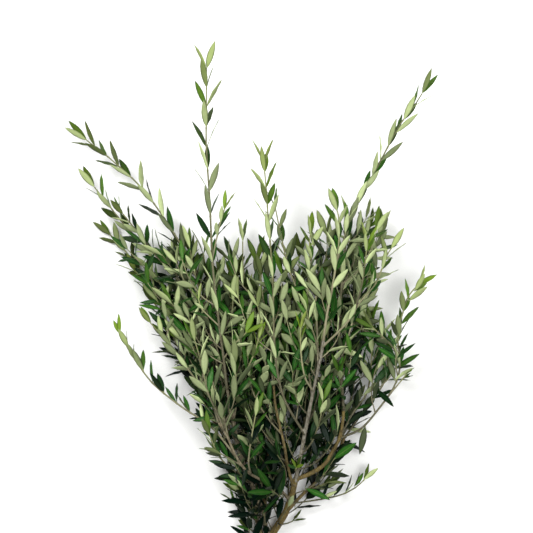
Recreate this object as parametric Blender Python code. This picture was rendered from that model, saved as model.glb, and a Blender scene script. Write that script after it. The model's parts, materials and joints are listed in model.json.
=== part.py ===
"""An olive branch laid on a surface: one forked, woody bough and the leafy shoots that grow from it.

+X runs across the branch, +Y from the cut end to the tips, and +Z up from the surface that it lies on.
The tables are in millimetres and the meshes in metres. The origin is on the trunk's underside, near
the cut end, in the middle of the flat spot that it rests on.
"""

import math
import random
from dataclasses import dataclass

import bmesh
import bpy
import numpy as np
from mathutils import Matrix
from mathutils.bvhtree import BVHTree

MM = 0.001
SEED = "olive"
BOUGH = "bough"

# Leaves: a narrow blade that is widest near its middle, with a keel under its midrib. It is drawn
# through rings at these shares of its length, between a root point inside the twig and a tip point.
LEAF_WIDTH_SHARE = 0.215
LEAF_RINGS = (0.3, 0.68)
WIDEST_EARLY = 0.9
FULLNESS = 0.75
KEEL_DEPTH = 1.35
KEEL_TAPER = 0.4
FOLD = 0.16
BEND_RANGE = (0.03, 0.12)
SICKLE = 0.05
ROOT_BEHIND_AXIS = 0.35

# How leaves stand on a shoot: they crowd and shrink a little towards its tip, where a last pair ends it.
# A leaf that stands on edge twists on its stalk so that one face looks up, more often its underside.
FIRST_LEAF = 6.0
LAST_LEAF_SHARE = 0.35
CROWDING = 0.3
LARGEST_AT = 0.55
END_SHRINK = 0.25
TIP_INSET = 1.2
TIP_OPENING_DEG = 19.0
TIP_SIZE = 0.95
AZIMUTH_JITTER_DEG = 14.0
OPENING_JITTER_DEG = 7.0
TWIST_JITTER_DEG = 22.0
EDGE_TWIST_DEG = (35.0, 80.0)
UNDERSIDE_SHARE = 0.6
SIZE_JITTER = 0.1

# Turns, wider openings and sizes that a leaf tries, in this order, until it is clear of the rest.
LEAF_TRIES = (
    (0, 0, 1.0), (20, 3, 1.0), (-20, 3, 1.0), (38, -4, 0.97), (-38, -4, 0.97), (10, 12, 0.95),
    (-10, 12, 0.95), (60, 4, 0.92), (-60, 4, 0.92), (0, -9, 0.9), (90, 6, 0.88), (-90, 6, 0.88),
    (30, 18, 0.85), (-30, 18, 0.85), (0, -6, 0.75),
)

# Twigs and wood.
TWIG_SIDES = 4
TWIG_RING_SPACING = 50.0
WOOD_SIDES = 6
WOOD_RING_SPACING = 36.0
TRUNK_SIDES = 10
STUB_SIDES = 4
COLLAR = 1.15
ROUTE_STEP = 2.0
HEADING_REACH = 1.5
UPRIGHT = 0.9
SHARP_DEG = 35.0

# Clearances between the separate solids.
FACE_GAP = 0.3
END_REACH = 4.0
SHORTEST_STUB = 2.0
STUB_STEP = 0.5
STUB_CLEARANCE = 0.8
TWIG_CLEARANCE = 1.2
LEAF_CLEARANCE = 0.5
EDGE_CLEARANCE = 1.5
OWN_TEST_FROM = 0.2

# How a shoot bends past the stems before it.
BEND_PASSES = 8
FREE_FOOT = 16.0
BEND_REACH = 30.0
BEND_EXTRA = 0.4
TOO_LOW_TO_DIP = 12.0

BARK = (0.30, 0.19, 0.09, 1.0)
LEAF_GREEN = (0.20, 0.27, 0.12, 1.0)


@dataclass(frozen=True)
class Limb:
    """A stem: the stem that it grows from, the points that its centreline passes, and its two radii."""

    name: str
    parent: str
    through: tuple
    radii: tuple


@dataclass(frozen=True)
class Shoot(Limb):
    """A leafy stem. Its leaves stand in crossed pairs, or one of each pair unless full, beyond its bare foot.

    bare is the share of its length without leaves, seek how much the leaves turn towards +Y, and
    turn_deg the direction round the stem of the first pair.
    """

    leaf: float = 42.0
    spacing: float = 27.0
    bare: float = 0.12
    full: bool = False
    opening_deg: float = 34.0
    seek: float = 0.25
    turn_deg: float = 20.0


LIMBS = (
    Limb("trunk", "", ((-4, -24, 5.8), (0, 0, 5.8), (3, 15, 6), (6, 28, 7.5), (9, 48, 11)), (7.2, 6.4)),
    Limb("right_limb", "trunk",
         ((9, 46, 11), (20, 66, 18), (35, 91, 30), (43, 114, 40), (49, 135, 50), (50, 143, 53)), (6.0, 4.4)),
    Limb("right_fork", "right_limb",
         ((50, 143, 53), (73, 152, 54), (93, 165, 55), (104, 181, 57), (116, 205, 60), (121, 230, 64),
          (122, 247, 67)), (3.6, 2.4)),
    Limb("grey_fork", "right_limb",
         ((49, 134, 50), (55, 165, 62), (59, 185, 70), (66, 223, 84), (78, 284, 102), (89, 337, 114),
          (91, 353, 118)), (3.3, 2.3)),
    Limb("centre_fork", "right_limb",
         ((48, 128, 47), (38, 166, 62), (33, 197, 70), (21, 250, 80), (17, 285, 86)), (2.5, 1.9)),
    Limb("left_fork", "right_limb",
         ((42, 110, 39), (25, 129, 60), (-4, 145, 82), (-23, 158, 95), (-38, 179, 104), (-52, 210, 110),
          (-65, 231, 114)), (2.6, 1.9)),
    Limb("left_limb", "trunk",
         ((8, 44, 10), (2, 93, 34), (-8, 113, 44), (-13, 129, 50), (-23, 155, 60), (-33, 185, 68),
          (-39, 211, 76), (-44, 240, 83), (-52, 279, 92)), (3.8, 2.3)),
    Limb("low_left_limb", "trunk",
         ((5, 34, 9), (-8, 80, 12), (-14, 105, 15), (-30, 150, 20), (-60, 210, 28), (-80, 240, 32)),
         (3.6, 2.0)),
    Limb("low_centre_limb", "trunk",
         ((8, 44, 10), (4, 82, 14), (4, 130, 20), (10, 190, 26), (8, 240, 32)), (3.2, 1.9)),
    Limb("low_right_limb", "right_limb",
         ((34, 89, 29), (60, 118, 28), (84, 140, 27), (108, 170, 27), (125, 205, 28)), (3.0, 1.9)),
)

SHOOTS = (
    # The long shoots that make the outline.
    Shoot("tall_shoot", "left_limb",
          ((-52, 279, 92), (-58, 333, 100), (-64, 379, 106), (-73, 461, 108), (-78, 562, 100),
           (-83, 640, 92), (-83, 700, 84), (-83, 758, 77)), (2.2, 0.9),
          leaf=50, spacing=38, bare=0.16, full=True, opening_deg=27, seek=0.1),
    Shoot("far_right_shoot", "right_fork",
          ((122, 247, 67), (120, 284, 76), (119, 337, 86), (115, 371, 90), (121, 457, 88), (133, 543, 80),
           (153, 576, 76), (178, 622, 70), (206, 674, 62), (226, 700, 58), (240, 722, 55)), (2.3, 0.9),
          leaf=46, spacing=30, bare=0.1, full=True, opening_deg=22, seek=0.1),
    Shoot("far_left_shoot", "left_limb",
          ((-39, 211, 76), (-58, 280, 72), (-75, 350, 68), (-94, 444, 66), (-124, 500, 64),
           (-175, 574, 60), (-225, 622, 56), (-263, 652, 50)), (2.0, 0.9),
          leaf=47, spacing=31, bare=0.42, full=True, opening_deg=26, seek=0.12),
    Shoot("centre_shoot", "grey_fork",
          ((64, 213, 80), (37, 257, 98), (25, 295, 108), (19, 342, 114), (17, 390, 118), (16, 448, 118),
           (10, 524, 112), (7, 569, 108), (3, 616, 102)), (2.1, 0.9),
          leaf=47, spacing=32, bare=0.2, full=True, opening_deg=28, seek=0.1),
    Shoot("low_left_outer_shoot", "left_fork",
          ((-38, 179, 104), (-75, 223, 100), (-121, 254, 92), (-161, 286, 84), (-186, 317, 76),
           (-202, 342, 70), (-213, 362, 66)), (1.7, 0.9),
          leaf=36, spacing=26, bare=0.22, full=True, seek=1.4),
    Shoot("low_left_upper_shoot", "left_fork",
          ((-65, 231, 114), (-76, 267, 112), (-94, 288, 108), (-132, 340, 98), (-152, 362, 92),
           (-166, 378, 88)), (1.8, 0.9),
          leaf=36, spacing=24, bare=0.12, full=True, seek=0.7),
    Shoot("far_left_second_shoot", "low_left_limb",
          ((-80, 240, 32), (-88, 300, 38), (-97, 394, 46), (-110, 421, 48), (-151, 471, 48),
           (-201, 519, 46), (-236, 562, 42), (-252, 582, 40)), (1.9, 0.9),
          leaf=40, spacing=28, bare=0.2, full=True, opening_deg=30),
    Shoot("far_left_third_shoot", "low_left_limb",
          ((-70, 225, 30), (-100, 300, 26), (-116, 367, 26), (-155, 421, 22), (-180, 453, 18),
           (-215, 496, 12), (-229, 510, 9)), (1.7, 0.9), leaf=38, spacing=22, bare=0.2),
    Shoot("right_outer_shoot", "right_fork",
          ((116, 205, 60), (148, 219, 58), (175, 249, 56), (198, 282, 56), (207, 315, 60), (203, 361, 66),
           (210, 390, 66), (219, 417, 62), (234, 435, 58)), (1.8, 0.9),
          leaf=38, spacing=24, bare=0.42, full=True, seek=0.3),
    Shoot("low_right_shoot", "right_limb",
          ((41, 105, 36), (81, 111, 36), (117, 118, 32), (140, 129, 30), (154, 141, 29)), (1.4, 0.9),
          leaf=30, spacing=20, bare=0.34, full=True, seek=1.3),
    Shoot("crown_centre_shoot", "grey_fork",
          ((91, 353, 118), (97, 394, 124), (104, 429, 126), (114, 496, 124), (114, 534, 120),
           (112, 545, 118)), (2.0, 0.9), leaf=42, spacing=27, bare=0.12),
    Shoot("crown_right_shoot", "grey_fork",
          ((90, 343, 116), (124, 377, 124), (145, 409, 122), (169, 438, 116), (185, 477, 108),
           (192, 489, 106)), (1.8, 0.9), leaf=40, spacing=25, bare=0.12),
    # Shoots near the front, seen against the others.
    Shoot("left_front_shoot", "left_fork",
          ((-57, 218, 112), (-66, 245, 122), (-80, 275, 130), (-90, 320, 136), (-99, 352, 138)), (1.7, 0.9),
          leaf=46, spacing=28, bare=0.15, seek=0.15, turn_deg=60),
    Shoot("tall_side_right_shoot", "tall_shoot",
          ((-73, 475, 107), (-65, 515, 112), (-61, 532, 113), (-56, 547, 114)), (1.2, 0.9),
          leaf=34, spacing=22, bare=0.3),
    Shoot("tall_side_left_shoot", "tall_shoot",
          ((-63, 374, 105), (-80, 390, 120), (-90, 401, 126), (-94, 414, 128)), (1.2, 0.9),
          leaf=26, spacing=17, bare=0.3),
    Shoot("tall_side_low_shoot", "tall_shoot",
          ((-57, 325, 99), (-42, 346, 114), (-32, 356, 122), (-24, 364, 126)), (1.3, 0.9),
          leaf=38, spacing=18, bare=0.3),
    Shoot("bright_front_shoot", "grey_fork",
          ((76, 276, 100), (64, 298, 118), (58, 333, 128), (57, 371, 134)), (1.5, 0.9),
          leaf=32, spacing=22, bare=0.2, turn_deg=50),
    Shoot("left_bright_shoot", "left_limb",
          ((-43, 232, 81), (-33, 282, 100), (-13, 330, 114), (-5, 355, 120)), (1.5, 0.9),
          leaf=34, spacing=25, bare=0.15),
    Shoot("fork_left_shoot", "grey_fork",
          ((86, 324, 111), (78, 360, 128), (70, 380, 136), (66, 398, 140)), (1.4, 0.9),
          leaf=34, spacing=22, bare=0.2),
    Shoot("low_centre_bright_shoot", "grey_fork",
          ((54, 160, 60), (50, 158, 74), (50, 159, 88), (51, 163, 99)), (1.6, 0.9),
          leaf=26, spacing=13, bare=0.3),
    Shoot("centre_side_shoot", "grey_fork",
          ((75, 268, 97), (66, 330, 88), (60, 380, 86), (52, 427, 86), (38, 466, 88), (28, 511, 90),
           (20, 550, 90)), (1.7, 0.9), leaf=38, spacing=28, bare=0.15),
    Shoot("crown_left_shoot", "grey_fork",
          ((85, 312, 108), (82, 370, 100), (80, 410, 98), (82, 440, 95), (71, 480, 92), (72, 510, 90)),
          (1.7, 0.9), leaf=38, spacing=26, bare=0.15),
    Shoot("crown_right_side_shoot", "crown_right_shoot",
          ((140, 401, 123), (149, 440, 130), (153, 470, 134), (156, 495, 134)), (1.3, 0.9),
          leaf=36, spacing=22, bare=0.15),
    Shoot("crown_centre_side_shoot", "crown_centre_shoot",
          ((111, 470, 125), (122, 505, 114), (128, 532, 110)), (1.2, 0.9), leaf=34, spacing=21, bare=0.2),
    Shoot("far_right_side_shoot", "far_right_shoot",
          ((119, 430, 89), (134, 462, 76), (150, 500, 68), (162, 522, 64)), (1.3, 0.9),
          leaf=38, spacing=23, bare=0.15),
    Shoot("right_outer_low_shoot", "right_outer_shoot",
          ((190, 270, 56), (206, 288, 60), (216, 301, 62)), (1.2, 0.9), leaf=22, spacing=14, bare=0.4),
    Shoot("right_outer_left_shoot", "right_outer_shoot",
          ((206, 322, 61), (194, 344, 76), (178, 360, 84), (166, 371, 88)), (1.3, 0.9),
          leaf=38, spacing=17, bare=0.15, seek=-0.1),
    Shoot("far_left_second_side_shoot", "far_left_second_shoot",
          ((-160, 480, 48), (-188, 516, 62), (-208, 541, 64)), (1.2, 0.9), leaf=34, spacing=22, bare=0.15),
    Shoot("far_left_third_side_shoot", "far_left_third_shoot",
          ((-125, 384, 26), (-142, 412, 40), (-165, 436, 50), (-190, 455, 52)), (1.3, 0.9),
          leaf=36, spacing=22, bare=0.15),
    Shoot("fork_front_shoot", "left_fork",
          ((-16, 153, 90), (-20, 172, 110), (-16, 206, 126), (-10, 240, 132)), (1.5, 0.9),
          leaf=42, spacing=27, bare=0.22),
    Shoot("grey_fork_front_shoot", "grey_fork",
          ((58, 180, 68), (74, 200, 92), (86, 234, 112), (90, 262, 120)), (1.5, 0.9),
          leaf=40, spacing=26, bare=0.25, turn_deg=60),
    Shoot("left_limb_front_shoot", "left_limb",
          ((-20, 146, 57), (-42, 158, 78), (-64, 180, 96), (-78, 212, 108)), (1.5, 0.9),
          leaf=40, spacing=26, bare=0.3),
    # Shoots inside the head of the branch.
    Shoot("centre_mid_shoot", "centre_fork",
          ((17, 285, 86), (9, 367, 82), (0, 427, 80), (-2, 460, 78)), (1.8, 0.9), spacing=31),
    Shoot("centre_mid_left_shoot", "centre_fork",
          ((29, 210, 73), (6, 240, 84), (-14, 277, 90), (-22, 320, 92)), (1.4, 0.9), leaf=38),
    Shoot("centre_mid_right_shoot", "grey_fork",
          ((65, 220, 83), (84, 262, 72), (94, 307, 68), (99, 367, 66)), (1.5, 0.9), leaf=42),
    Shoot("centre_deep_shoot", "centre_fork",
          ((39, 162, 61), (12, 205, 54), (-6, 250, 52), (-12, 300, 52)), (1.5, 0.9), leaf=42, spacing=33),
    Shoot("centre_deep_right_shoot", "grey_fork",
          ((57, 176, 67), (66, 240, 52), (78, 300, 48), (88, 380, 46), (90, 430, 44)), (1.6, 0.9)),
    Shoot("centre_thin_shoot", "low_centre_limb",
          ((10, 205, 28), (-6, 300, 50), (-20, 400, 58), (-28, 460, 60), (-29, 500, 60)), (1.6, 0.9),
          leaf=38, spacing=38),
    Shoot("left_inner_shoot", "left_limb",
          ((-33, 187, 69), (-66, 262, 60), (-84, 306, 57), (-108, 352, 56), (-138, 412, 54),
           (-165, 455, 54)), (1.7, 0.9), spacing=36),
    Shoot("left_middle_shoot", "left_fork",
          ((-50, 205, 109), (-62, 255, 98), (-85, 320, 90), (-105, 345, 88), (-122, 356, 88)), (1.5, 0.9),
          leaf=38, spacing=25),
    Shoot("left_upper_shoot", "left_limb",
          ((-46, 250, 85), (-62, 322, 84), (-85, 397, 84), (-102, 460, 80), (-108, 490, 78)), (1.6, 0.9),
          leaf=38, spacing=26),
    Shoot("left_behind_shoot", "low_left_limb",
          ((-74, 231, 31), (-72, 330, 46), (-80, 430, 46), (-88, 480, 46)), (1.6, 0.9), spacing=38),
    Shoot("right_inner_shoot", "right_fork",
          ((109, 191, 58), (135, 240, 48), (159, 277, 44), (165, 337, 46), (165, 382, 48)), (1.5, 0.9),
          leaf=38, spacing=25),
    Shoot("right_middle_shoot", "far_right_shoot",
          ((119, 330, 85), (132, 370, 98), (144, 420, 98), (150, 445, 96)), (1.4, 0.9), leaf=38, spacing=24),
    # The lowest shoots, some of whose leaves lie on the surface.
    Shoot("left_low_shoot", "low_left_limb",
          ((-50, 193, 25), (-90, 270, 13), (-130, 350, 9), (-170, 420, 8)), (1.6, 0.9), spacing=31),
    Shoot("left_low_inner_shoot", "low_left_limb",
          ((-33, 155, 21), (-32, 240, 12), (-50, 330, 9), (-60, 400, 9)), (1.5, 0.9), spacing=31),
    Shoot("centre_low_shoot", "low_centre_limb",
          ((8, 240, 32), (5, 330, 34), (0, 420, 38), (-8, 470, 40)), (1.7, 0.9), spacing=38),
    Shoot("centre_low_right_shoot", "low_centre_limb",
          ((10, 196, 27), (36, 300, 22), (54, 400, 20), (56, 475, 16)), (1.6, 0.9), spacing=36),
    Shoot("centre_low_left_shoot", "low_centre_limb",
          ((10, 214, 29), (-18, 300, 18), (-36, 380, 14), (-40, 440, 12)), (1.5, 0.9), spacing=27),
    Shoot("right_low_shoot", "low_right_limb",
          ((119, 190, 28), (138, 280, 16), (150, 360, 12), (158, 430, 12)), (1.6, 0.9), spacing=31),
    Shoot("right_low_centre_shoot", "low_right_limb",
          ((106, 167, 27), (104, 250, 14), (110, 340, 10), (124, 430, 9), (138, 490, 8)), (1.6, 0.9),
          spacing=31),
    Shoot("right_low_inner_shoot", "low_right_limb",
          ((88, 145, 27), (72, 220, 14), (64, 300, 10), (64, 370, 9)), (1.5, 0.9), spacing=31),
    Shoot("right_low_outer_shoot", "low_right_limb",
          ((125, 205, 28), (150, 240, 26), (185, 290, 25), (189, 337, 27)), (1.6, 0.9), leaf=38),
    # Short shoots near the cut end.
    Shoot("butt_left_shoot", "left_limb",
          ((1, 95, 35), (-12, 105, 50), (-24, 114, 58), (-33, 124, 62)), (1.3, 0.9),
          leaf=38, spacing=12, bare=0.3),
    Shoot("butt_low_left_shoot", "low_left_limb",
          ((-7, 77, 12), (-20, 88, 16), (-31, 94, 18), (-40, 104, 20)), (1.3, 0.9),
          leaf=30, spacing=14, bare=0.3),
    Shoot("butt_lowest_shoot", "low_left_limb",
          ((1, 52, 10), (-13, 62, 18), (-22, 70, 22)), (1.3, 0.9), leaf=28, spacing=12, bare=0.4),
    Shoot("butt_right_shoot", "right_limb",
          ((24, 73, 21), (36, 74, 18), (46, 78, 17)), (1.3, 0.9), leaf=26, spacing=14, bare=0.5),
    Shoot("low_right_second_shoot", "low_right_limb",
          ((64, 122, 28), (82, 131, 40), (98, 138, 44)), (1.3, 0.9), leaf=32, spacing=14, bare=0.3),
    Shoot("low_left_thin_shoot", "left_fork",
          ((-28, 165, 98), (-50, 178, 104), (-66, 186, 104)), (1.2, 0.9), leaf=32, spacing=15, bare=0.3),
)


def unit(vector):
    """The vector at length one."""
    return vector / np.linalg.norm(vector)


def smooth(points):
    """Points every ROUTE_STEP or so along a Catmull-Rom curve through these."""
    points = np.array(points, float)
    ends = np.vstack([2 * points[0] - points[1], points, 2 * points[-1] - points[-2]])
    made = [points[0]]
    for before, start, end, after in zip(ends, ends[1:], ends[2:], ends[3:]):
        count = max(2, round(np.linalg.norm(end - start) / ROUTE_STEP))
        for t in np.arange(1, count + 1) / count:
            made.append(0.5 * (2 * start + (end - before) * t
                               + (2 * before - 5 * start + 4 * end - after) * t ** 2
                               + (3 * start - before - 3 * end + after) * t ** 3))
    return np.array(made)


class Route:
    """A stem's smooth centreline, whose radius tapers from its foot to its tip."""

    def __init__(self, through, radii):
        self.radii = radii
        self.set_points(smooth(through))
        self.start = 0.0
        self.start_heading = None

    def set_points(self, points):
        """Takes these points, and measures the distance along them."""
        self.points = points
        steps = np.linalg.norm(np.diff(points, axis=0), axis=1)
        self.along = np.concatenate([[0.0], np.cumsum(steps)])
        self.length = self.along[-1]

    def at(self, distance):
        """The centreline's point at this distance from the foot."""
        return np.array([np.interp(distance, self.along, self.points[:, k]) for k in range(3)])

    def heading(self, distance):
        """The unit direction towards the tip at this distance."""
        ahead = self.at(min(distance + HEADING_REACH, self.length))
        return unit(ahead - self.at(max(distance - HEADING_REACH, 0.0)))

    def radius(self, distance):
        """The stem's radius at this distance."""
        return np.interp(distance, [0.0, self.length], self.radii)

    def nearest(self, point):
        """The distance along the stem of its point nearest to this one."""
        return self.along[np.argmin(np.linalg.norm(self.points - point, axis=1))]


def bent_clear(route, others):
    """Lifts or lowers a route, smoothly, where it would come too near one of the others."""
    for _ in range(BEND_PASSES):
        clear = True
        for other in others:
            gaps = np.linalg.norm(route.points[:, None] - other.points[None], axis=2)
            gaps[route.along < FREE_FOOT] = np.inf
            here, there = np.unravel_index(np.argmin(gaps), gaps.shape)
            wanted = route.radius(route.along[here]) + other.radius(other.along[there]) + TWIG_CLEARANCE
            if gaps[here, there] >= wanted:
                continue
            clear = False
            rise = route.points[here, 2] - other.points[there, 2]
            away = 1.0 if rise >= 0 or route.points[here, 2] < TOO_LOW_TO_DIP else -1.0
            reach = np.exp(-((route.along - route.along[here]) / BEND_REACH) ** 2)
            reach *= np.clip(route.along / FREE_FOOT, 0.0, 1.0)
            points = route.points.copy()
            points[:, 2] += away * (wanted - gaps[here, there] + BEND_EXTRA) * reach
            route.set_points(points)
        if clear:
            return


def routed():
    """Every stem's route by name, each on its parent and clear of the stems before it."""
    routes = {}
    for stem in LIMBS + SHOOTS:
        through = np.array(stem.through, float)
        if not stem.parent:
            routes[stem.name] = Route(through, stem.radii)
            continue
        parent = routes[stem.parent]
        foot = parent.nearest(through[0])
        goes_on = foot > parent.length - END_REACH
        through[0] = parent.points[-1] if goes_on else parent.at(foot)
        route = Route(through, stem.radii)
        if isinstance(stem, Shoot):
            bent_clear(route, list(routes.values()))
        if goes_on:
            route.start = FACE_GAP
            route.start_heading = parent.heading(parent.length)
        elif isinstance(stem, Shoot):
            route.start = foot_length(route, parent)
        routes[stem.name] = route
    return routes


def foot_length(route, parent):
    """How far along a side shoot its own solid can begin, clear of its parent's."""
    for distance in np.arange(SHORTEST_STUB, route.length, STUB_STEP):
        point = route.at(distance)
        beside = parent.nearest(point)
        gap = np.linalg.norm(parent.at(beside) - point) - parent.radius(beside)
        if gap > COLLAR * route.radius(distance) + STUB_CLEARANCE:
            return distance
    return route.length


def level_side(heading):
    """A direction across a stem: level, or across the branch where the stem stands up."""
    if abs(heading[2]) > UPRIGHT:
        return unit(np.cross(heading, (0.0, 1.0, 0.0)))
    return unit(np.cross(heading, (0.0, 0.0, 1.0)))


def stem_frame(route, distance):
    """(level side, upper side) of a stem there."""
    heading = route.heading(distance)
    side = level_side(heading)
    return side, np.cross(side, heading)


def lay(cap, ring):
    """Moves the corners of a face to a ring of millimetre points."""
    for vert, point in zip(cap.verts, ring):
        vert.co = point * MM


def swept(rings):
    """(mesh, first cap, last cap) of a closed solid extruded through these rings of points."""
    build = bmesh.new()
    bmesh.ops.create_circle(build, cap_ends=True, segments=len(rings[0]), radius=1.0)
    build.faces.ensure_lookup_table()
    first = cap = build.faces[0]
    lay(cap, rings[0])
    for ring in rings[1:]:
        behind = cap
        extruded = bmesh.ops.extrude_face_region(build, geom=[behind])["geom"]
        cap = next(piece for piece in extruded if isinstance(piece, bmesh.types.BMFace))
        lay(cap, ring)
        if behind is not first:
            bmesh.ops.delete(build, geom=[behind], context="FACES_ONLY")
    return build, first, cap


def pointed(build, cap, point):
    """Draws a cap out to a millimetre point."""
    made = bmesh.ops.poke(build, faces=[cap])
    made["verts"][0].co = point * MM


def outward(build):
    """The same mesh with its faces pointing out."""
    bmesh.ops.recalc_face_normals(build, faces=build.faces)
    return build


def tube(route, stations, sides, swell=1.0, start_heading=None):
    """A closed tube with a ring at each station along a route, nowhere below the surface it lies on."""
    rings = []
    side = None
    for number, distance in enumerate(stations):
        heading = route.heading(distance)
        if number == 0 and start_heading is not None:
            heading = start_heading
        side = level_side(heading) if side is None else unit(side - heading * (side @ heading))
        upper = np.cross(side, heading)
        angles = 2 * math.pi * (np.arange(sides) + 0.5) / sides - math.pi / 2
        spokes = np.outer(np.cos(angles), side) + np.outer(np.sin(angles), upper)
        ring = route.at(distance) + spokes * route.radius(distance) * swell
        ring[:, 2] = np.maximum(ring[:, 2], 0.0)
        rings.append(ring)
    return outward(swept(rings)[0])


def ring_stations(route, start, spacing):
    """Evenly spaced stations from start to the tip."""
    count = max(1, math.ceil((route.length - start) / spacing))
    return np.linspace(start, route.length, count + 1)


def chord_point(route, stations, distance):
    """The point on the tube's own straight-sided centreline at this distance."""
    return np.array([np.interp(distance, stations, [route.at(s)[k] for s in stations]) for k in range(3)])


@dataclass
class Leaf:
    """One leaf: its root on the stem, its directions, and its size and bend."""

    root: np.ndarray
    ahead: np.ndarray
    upper: np.ndarray
    length: float
    bend: float
    sickle: float

    def half_width(self, share):
        """Half the blade's width at this share of its length."""
        full = 0.5 * LEAF_WIDTH_SHARE * self.length
        return full * math.sin(math.pi * share ** WIDEST_EARLY) ** FULLNESS

    def centre(self, share):
        """The midrib's point at this share, bent down and to one side more towards the tip."""
        across = np.cross(self.upper, self.ahead)
        return (self.root + self.ahead * share * self.length
                - self.upper * self.bend * share ** 2 * self.length
                + across * self.sickle * share ** 2 * self.length)

    def section(self, share, swell):
        """The blade's two edges and its keel, or with a swell four points that clear them all round."""
        across = np.cross(self.upper, self.ahead)
        middle, half = self.centre(share), self.half_width(share) + EDGE_CLEARANCE * swell
        lift = self.upper * FOLD * half
        depth = KEEL_DEPTH * (1.0 - KEEL_TAPER * share) + swell
        ring = [middle + across * half + lift, middle - across * half + lift, middle - self.upper * depth]
        if swell:
            ring.insert(1, middle + self.upper * (FOLD * half + swell))
        ring = np.array(ring)
        ring[:, 2] += max(0.0, swell - ring[:, 2].min())
        return ring

    def solid(self, swell=0.0, first=0.0):
        """The blade, from its root point or the share first to its tip point."""
        shares = (first, *LEAF_RINGS) if first else LEAF_RINGS
        build, foot, end = swept([self.section(share, swell) for share in shares])
        tip = self.centre(1.0) + self.ahead * swell
        tip[2] = max(tip[2], 0.0)
        pointed(build, end, tip)
        if not first:
            pointed(build, foot, self.root)
        bmesh.ops.triangulate(build, faces=build.faces)
        return outward(build)


class Thicket:
    """Everything already in place, which the next leaf has to clear."""

    def __init__(self):
        self.lows, self.highs, self.trees, self.owners = [], [], [], []

    def add(self, build, owner):
        """Puts a solid of the owner's in place."""
        corners = np.array([vert.co for vert in build.verts])
        self.lows.append(corners.min(axis=0))
        self.highs.append(corners.max(axis=0))
        self.trees.append(BVHTree.FromBMesh(build))
        self.owners.append(owner)

    def blocks(self, build, owner, own):
        """Whether this shape meets one of the owner's shapes, or with own False one of the others'."""
        corners = np.array([vert.co for vert in build.verts])
        tree = BVHTree.FromBMesh(build)
        build.free()
        low, high = corners.min(axis=0), corners.max(axis=0)
        near = (np.array(self.lows) < high).all(axis=1) & (np.array(self.highs) > low).all(axis=1)
        return any(tree.overlap(self.trees[n]) for n in np.flatnonzero(near)
                   if (self.owners[n] == owner) == own)


def leaf_nodes(shoot, route):
    """Distances along a shoot of its leaf pairs. They stand closer together towards the tip."""
    distance = route.start + max(FIRST_LEAF, shoot.bare * route.length)
    nodes = []
    while distance < route.length - LAST_LEAF_SHARE * shoot.spacing:
        nodes.append(distance)
        distance += shoot.spacing * (1.0 - CROWDING * (distance / route.length) ** 2)
    return nodes


def leaf_towards(shoot, route, root, distance, azimuth_deg, opening_deg, twists_deg, length, draw):
    """A leaf that leaves the stem at this azimuth and opening, turned a little towards the light."""
    heading = route.heading(distance)
    side, over = stem_frame(route, distance)
    azimuth, opening = math.radians(azimuth_deg), math.radians(opening_deg)
    outward = side * math.cos(azimuth) + over * math.sin(azimuth)
    ahead = heading * math.cos(opening) + outward * math.sin(opening)
    ahead = unit(ahead + np.array([0.0, shoot.seek, 0.0]) * math.sin(opening))
    upper = unit(heading - ahead * (heading @ ahead))
    on_edge = np.cross(ahead, upper)[2]
    any_twist, edge_twist = twists_deg
    twist = math.radians(any_twist + edge_twist * on_edge * abs(on_edge))
    upper = unit(upper * math.cos(twist) + np.cross(ahead, upper) * math.sin(twist))
    start = root - outward * ROOT_BEHIND_AXIS * route.radius(distance)
    return Leaf(start, ahead, upper, length, draw.uniform(*BEND_RANGE), draw.uniform(-SICKLE, SICKLE))


def leaf_wishes(shoot, route):
    """(name, distance, azimuth, opening, length) of each leaf that the shoot should have."""
    wishes = []
    nodes = leaf_nodes(shoot, route)
    for number, distance in enumerate(nodes):
        size = shoot.leaf * (1.0 - END_SHRINK * abs(distance / route.length - LARGEST_AT))
        for pair_side in (0, 1):
            if not shoot.full and pair_side != number // 2 % 2:
                continue
            azimuth = shoot.turn_deg + 90.0 * number + 180.0 * pair_side
            wishes.append((f"{number}-{pair_side}", distance, azimuth, shoot.opening_deg, size))
    crossed = shoot.turn_deg + 90.0 * len(nodes)
    tip = route.length - TIP_INSET
    for pair_side in (0, 1):
        wishes.append((f"tip-{pair_side}", tip, crossed + 180.0 * pair_side, TIP_OPENING_DEG,
                       TIP_SIZE * shoot.leaf))
    return wishes


def placed_leaf(shoot, route, stations, wish, thicket):
    """The leaf where it is wished for, or turned aside until it is clear of the rest, or None."""
    label, distance, azimuth, opening, size = wish
    draw = random.Random(f"{SEED} {shoot.name} {label}")
    root = chord_point(route, stations, distance)
    azimuth += draw.uniform(-AZIMUTH_JITTER_DEG, AZIMUTH_JITTER_DEG)
    opening += draw.uniform(-OPENING_JITTER_DEG, OPENING_JITTER_DEG)
    twist = draw.uniform(-TWIST_JITTER_DEG, TWIST_JITTER_DEG)
    size *= draw.uniform(1.0 - SIZE_JITTER, 1.0 + SIZE_JITTER)
    curve_seed = draw.random()
    edge_twist = draw.uniform(*EDGE_TWIST_DEG) * (-1.0 if draw.random() < UNDERSIDE_SHARE else 1.0)
    for turn, widen, shorten in LEAF_TRIES:
        leaf = leaf_towards(shoot, route, root, distance, azimuth + turn, opening + widen,
                            (twist, edge_twist), size * shorten, random.Random(curve_seed))
        if thicket.blocks(leaf.solid(LEAF_CLEARANCE), shoot.name, own=False):
            continue
        if thicket.blocks(leaf.solid(LEAF_CLEARANCE, OWN_TEST_FROM), shoot.name, own=True):
            continue
        blade = leaf.solid()
        thicket.add(blade, shoot.name)
        return blade
    return None


def material(name, colour, roughness):
    """A plain Principled material."""
    made = bpy.data.materials.new(name)
    made.use_nodes = True
    shader = made.node_tree.nodes["Principled BSDF"]
    shader.inputs["Base Color"].default_value = colour
    shader.inputs["Roughness"].default_value = roughness
    return made


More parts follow.
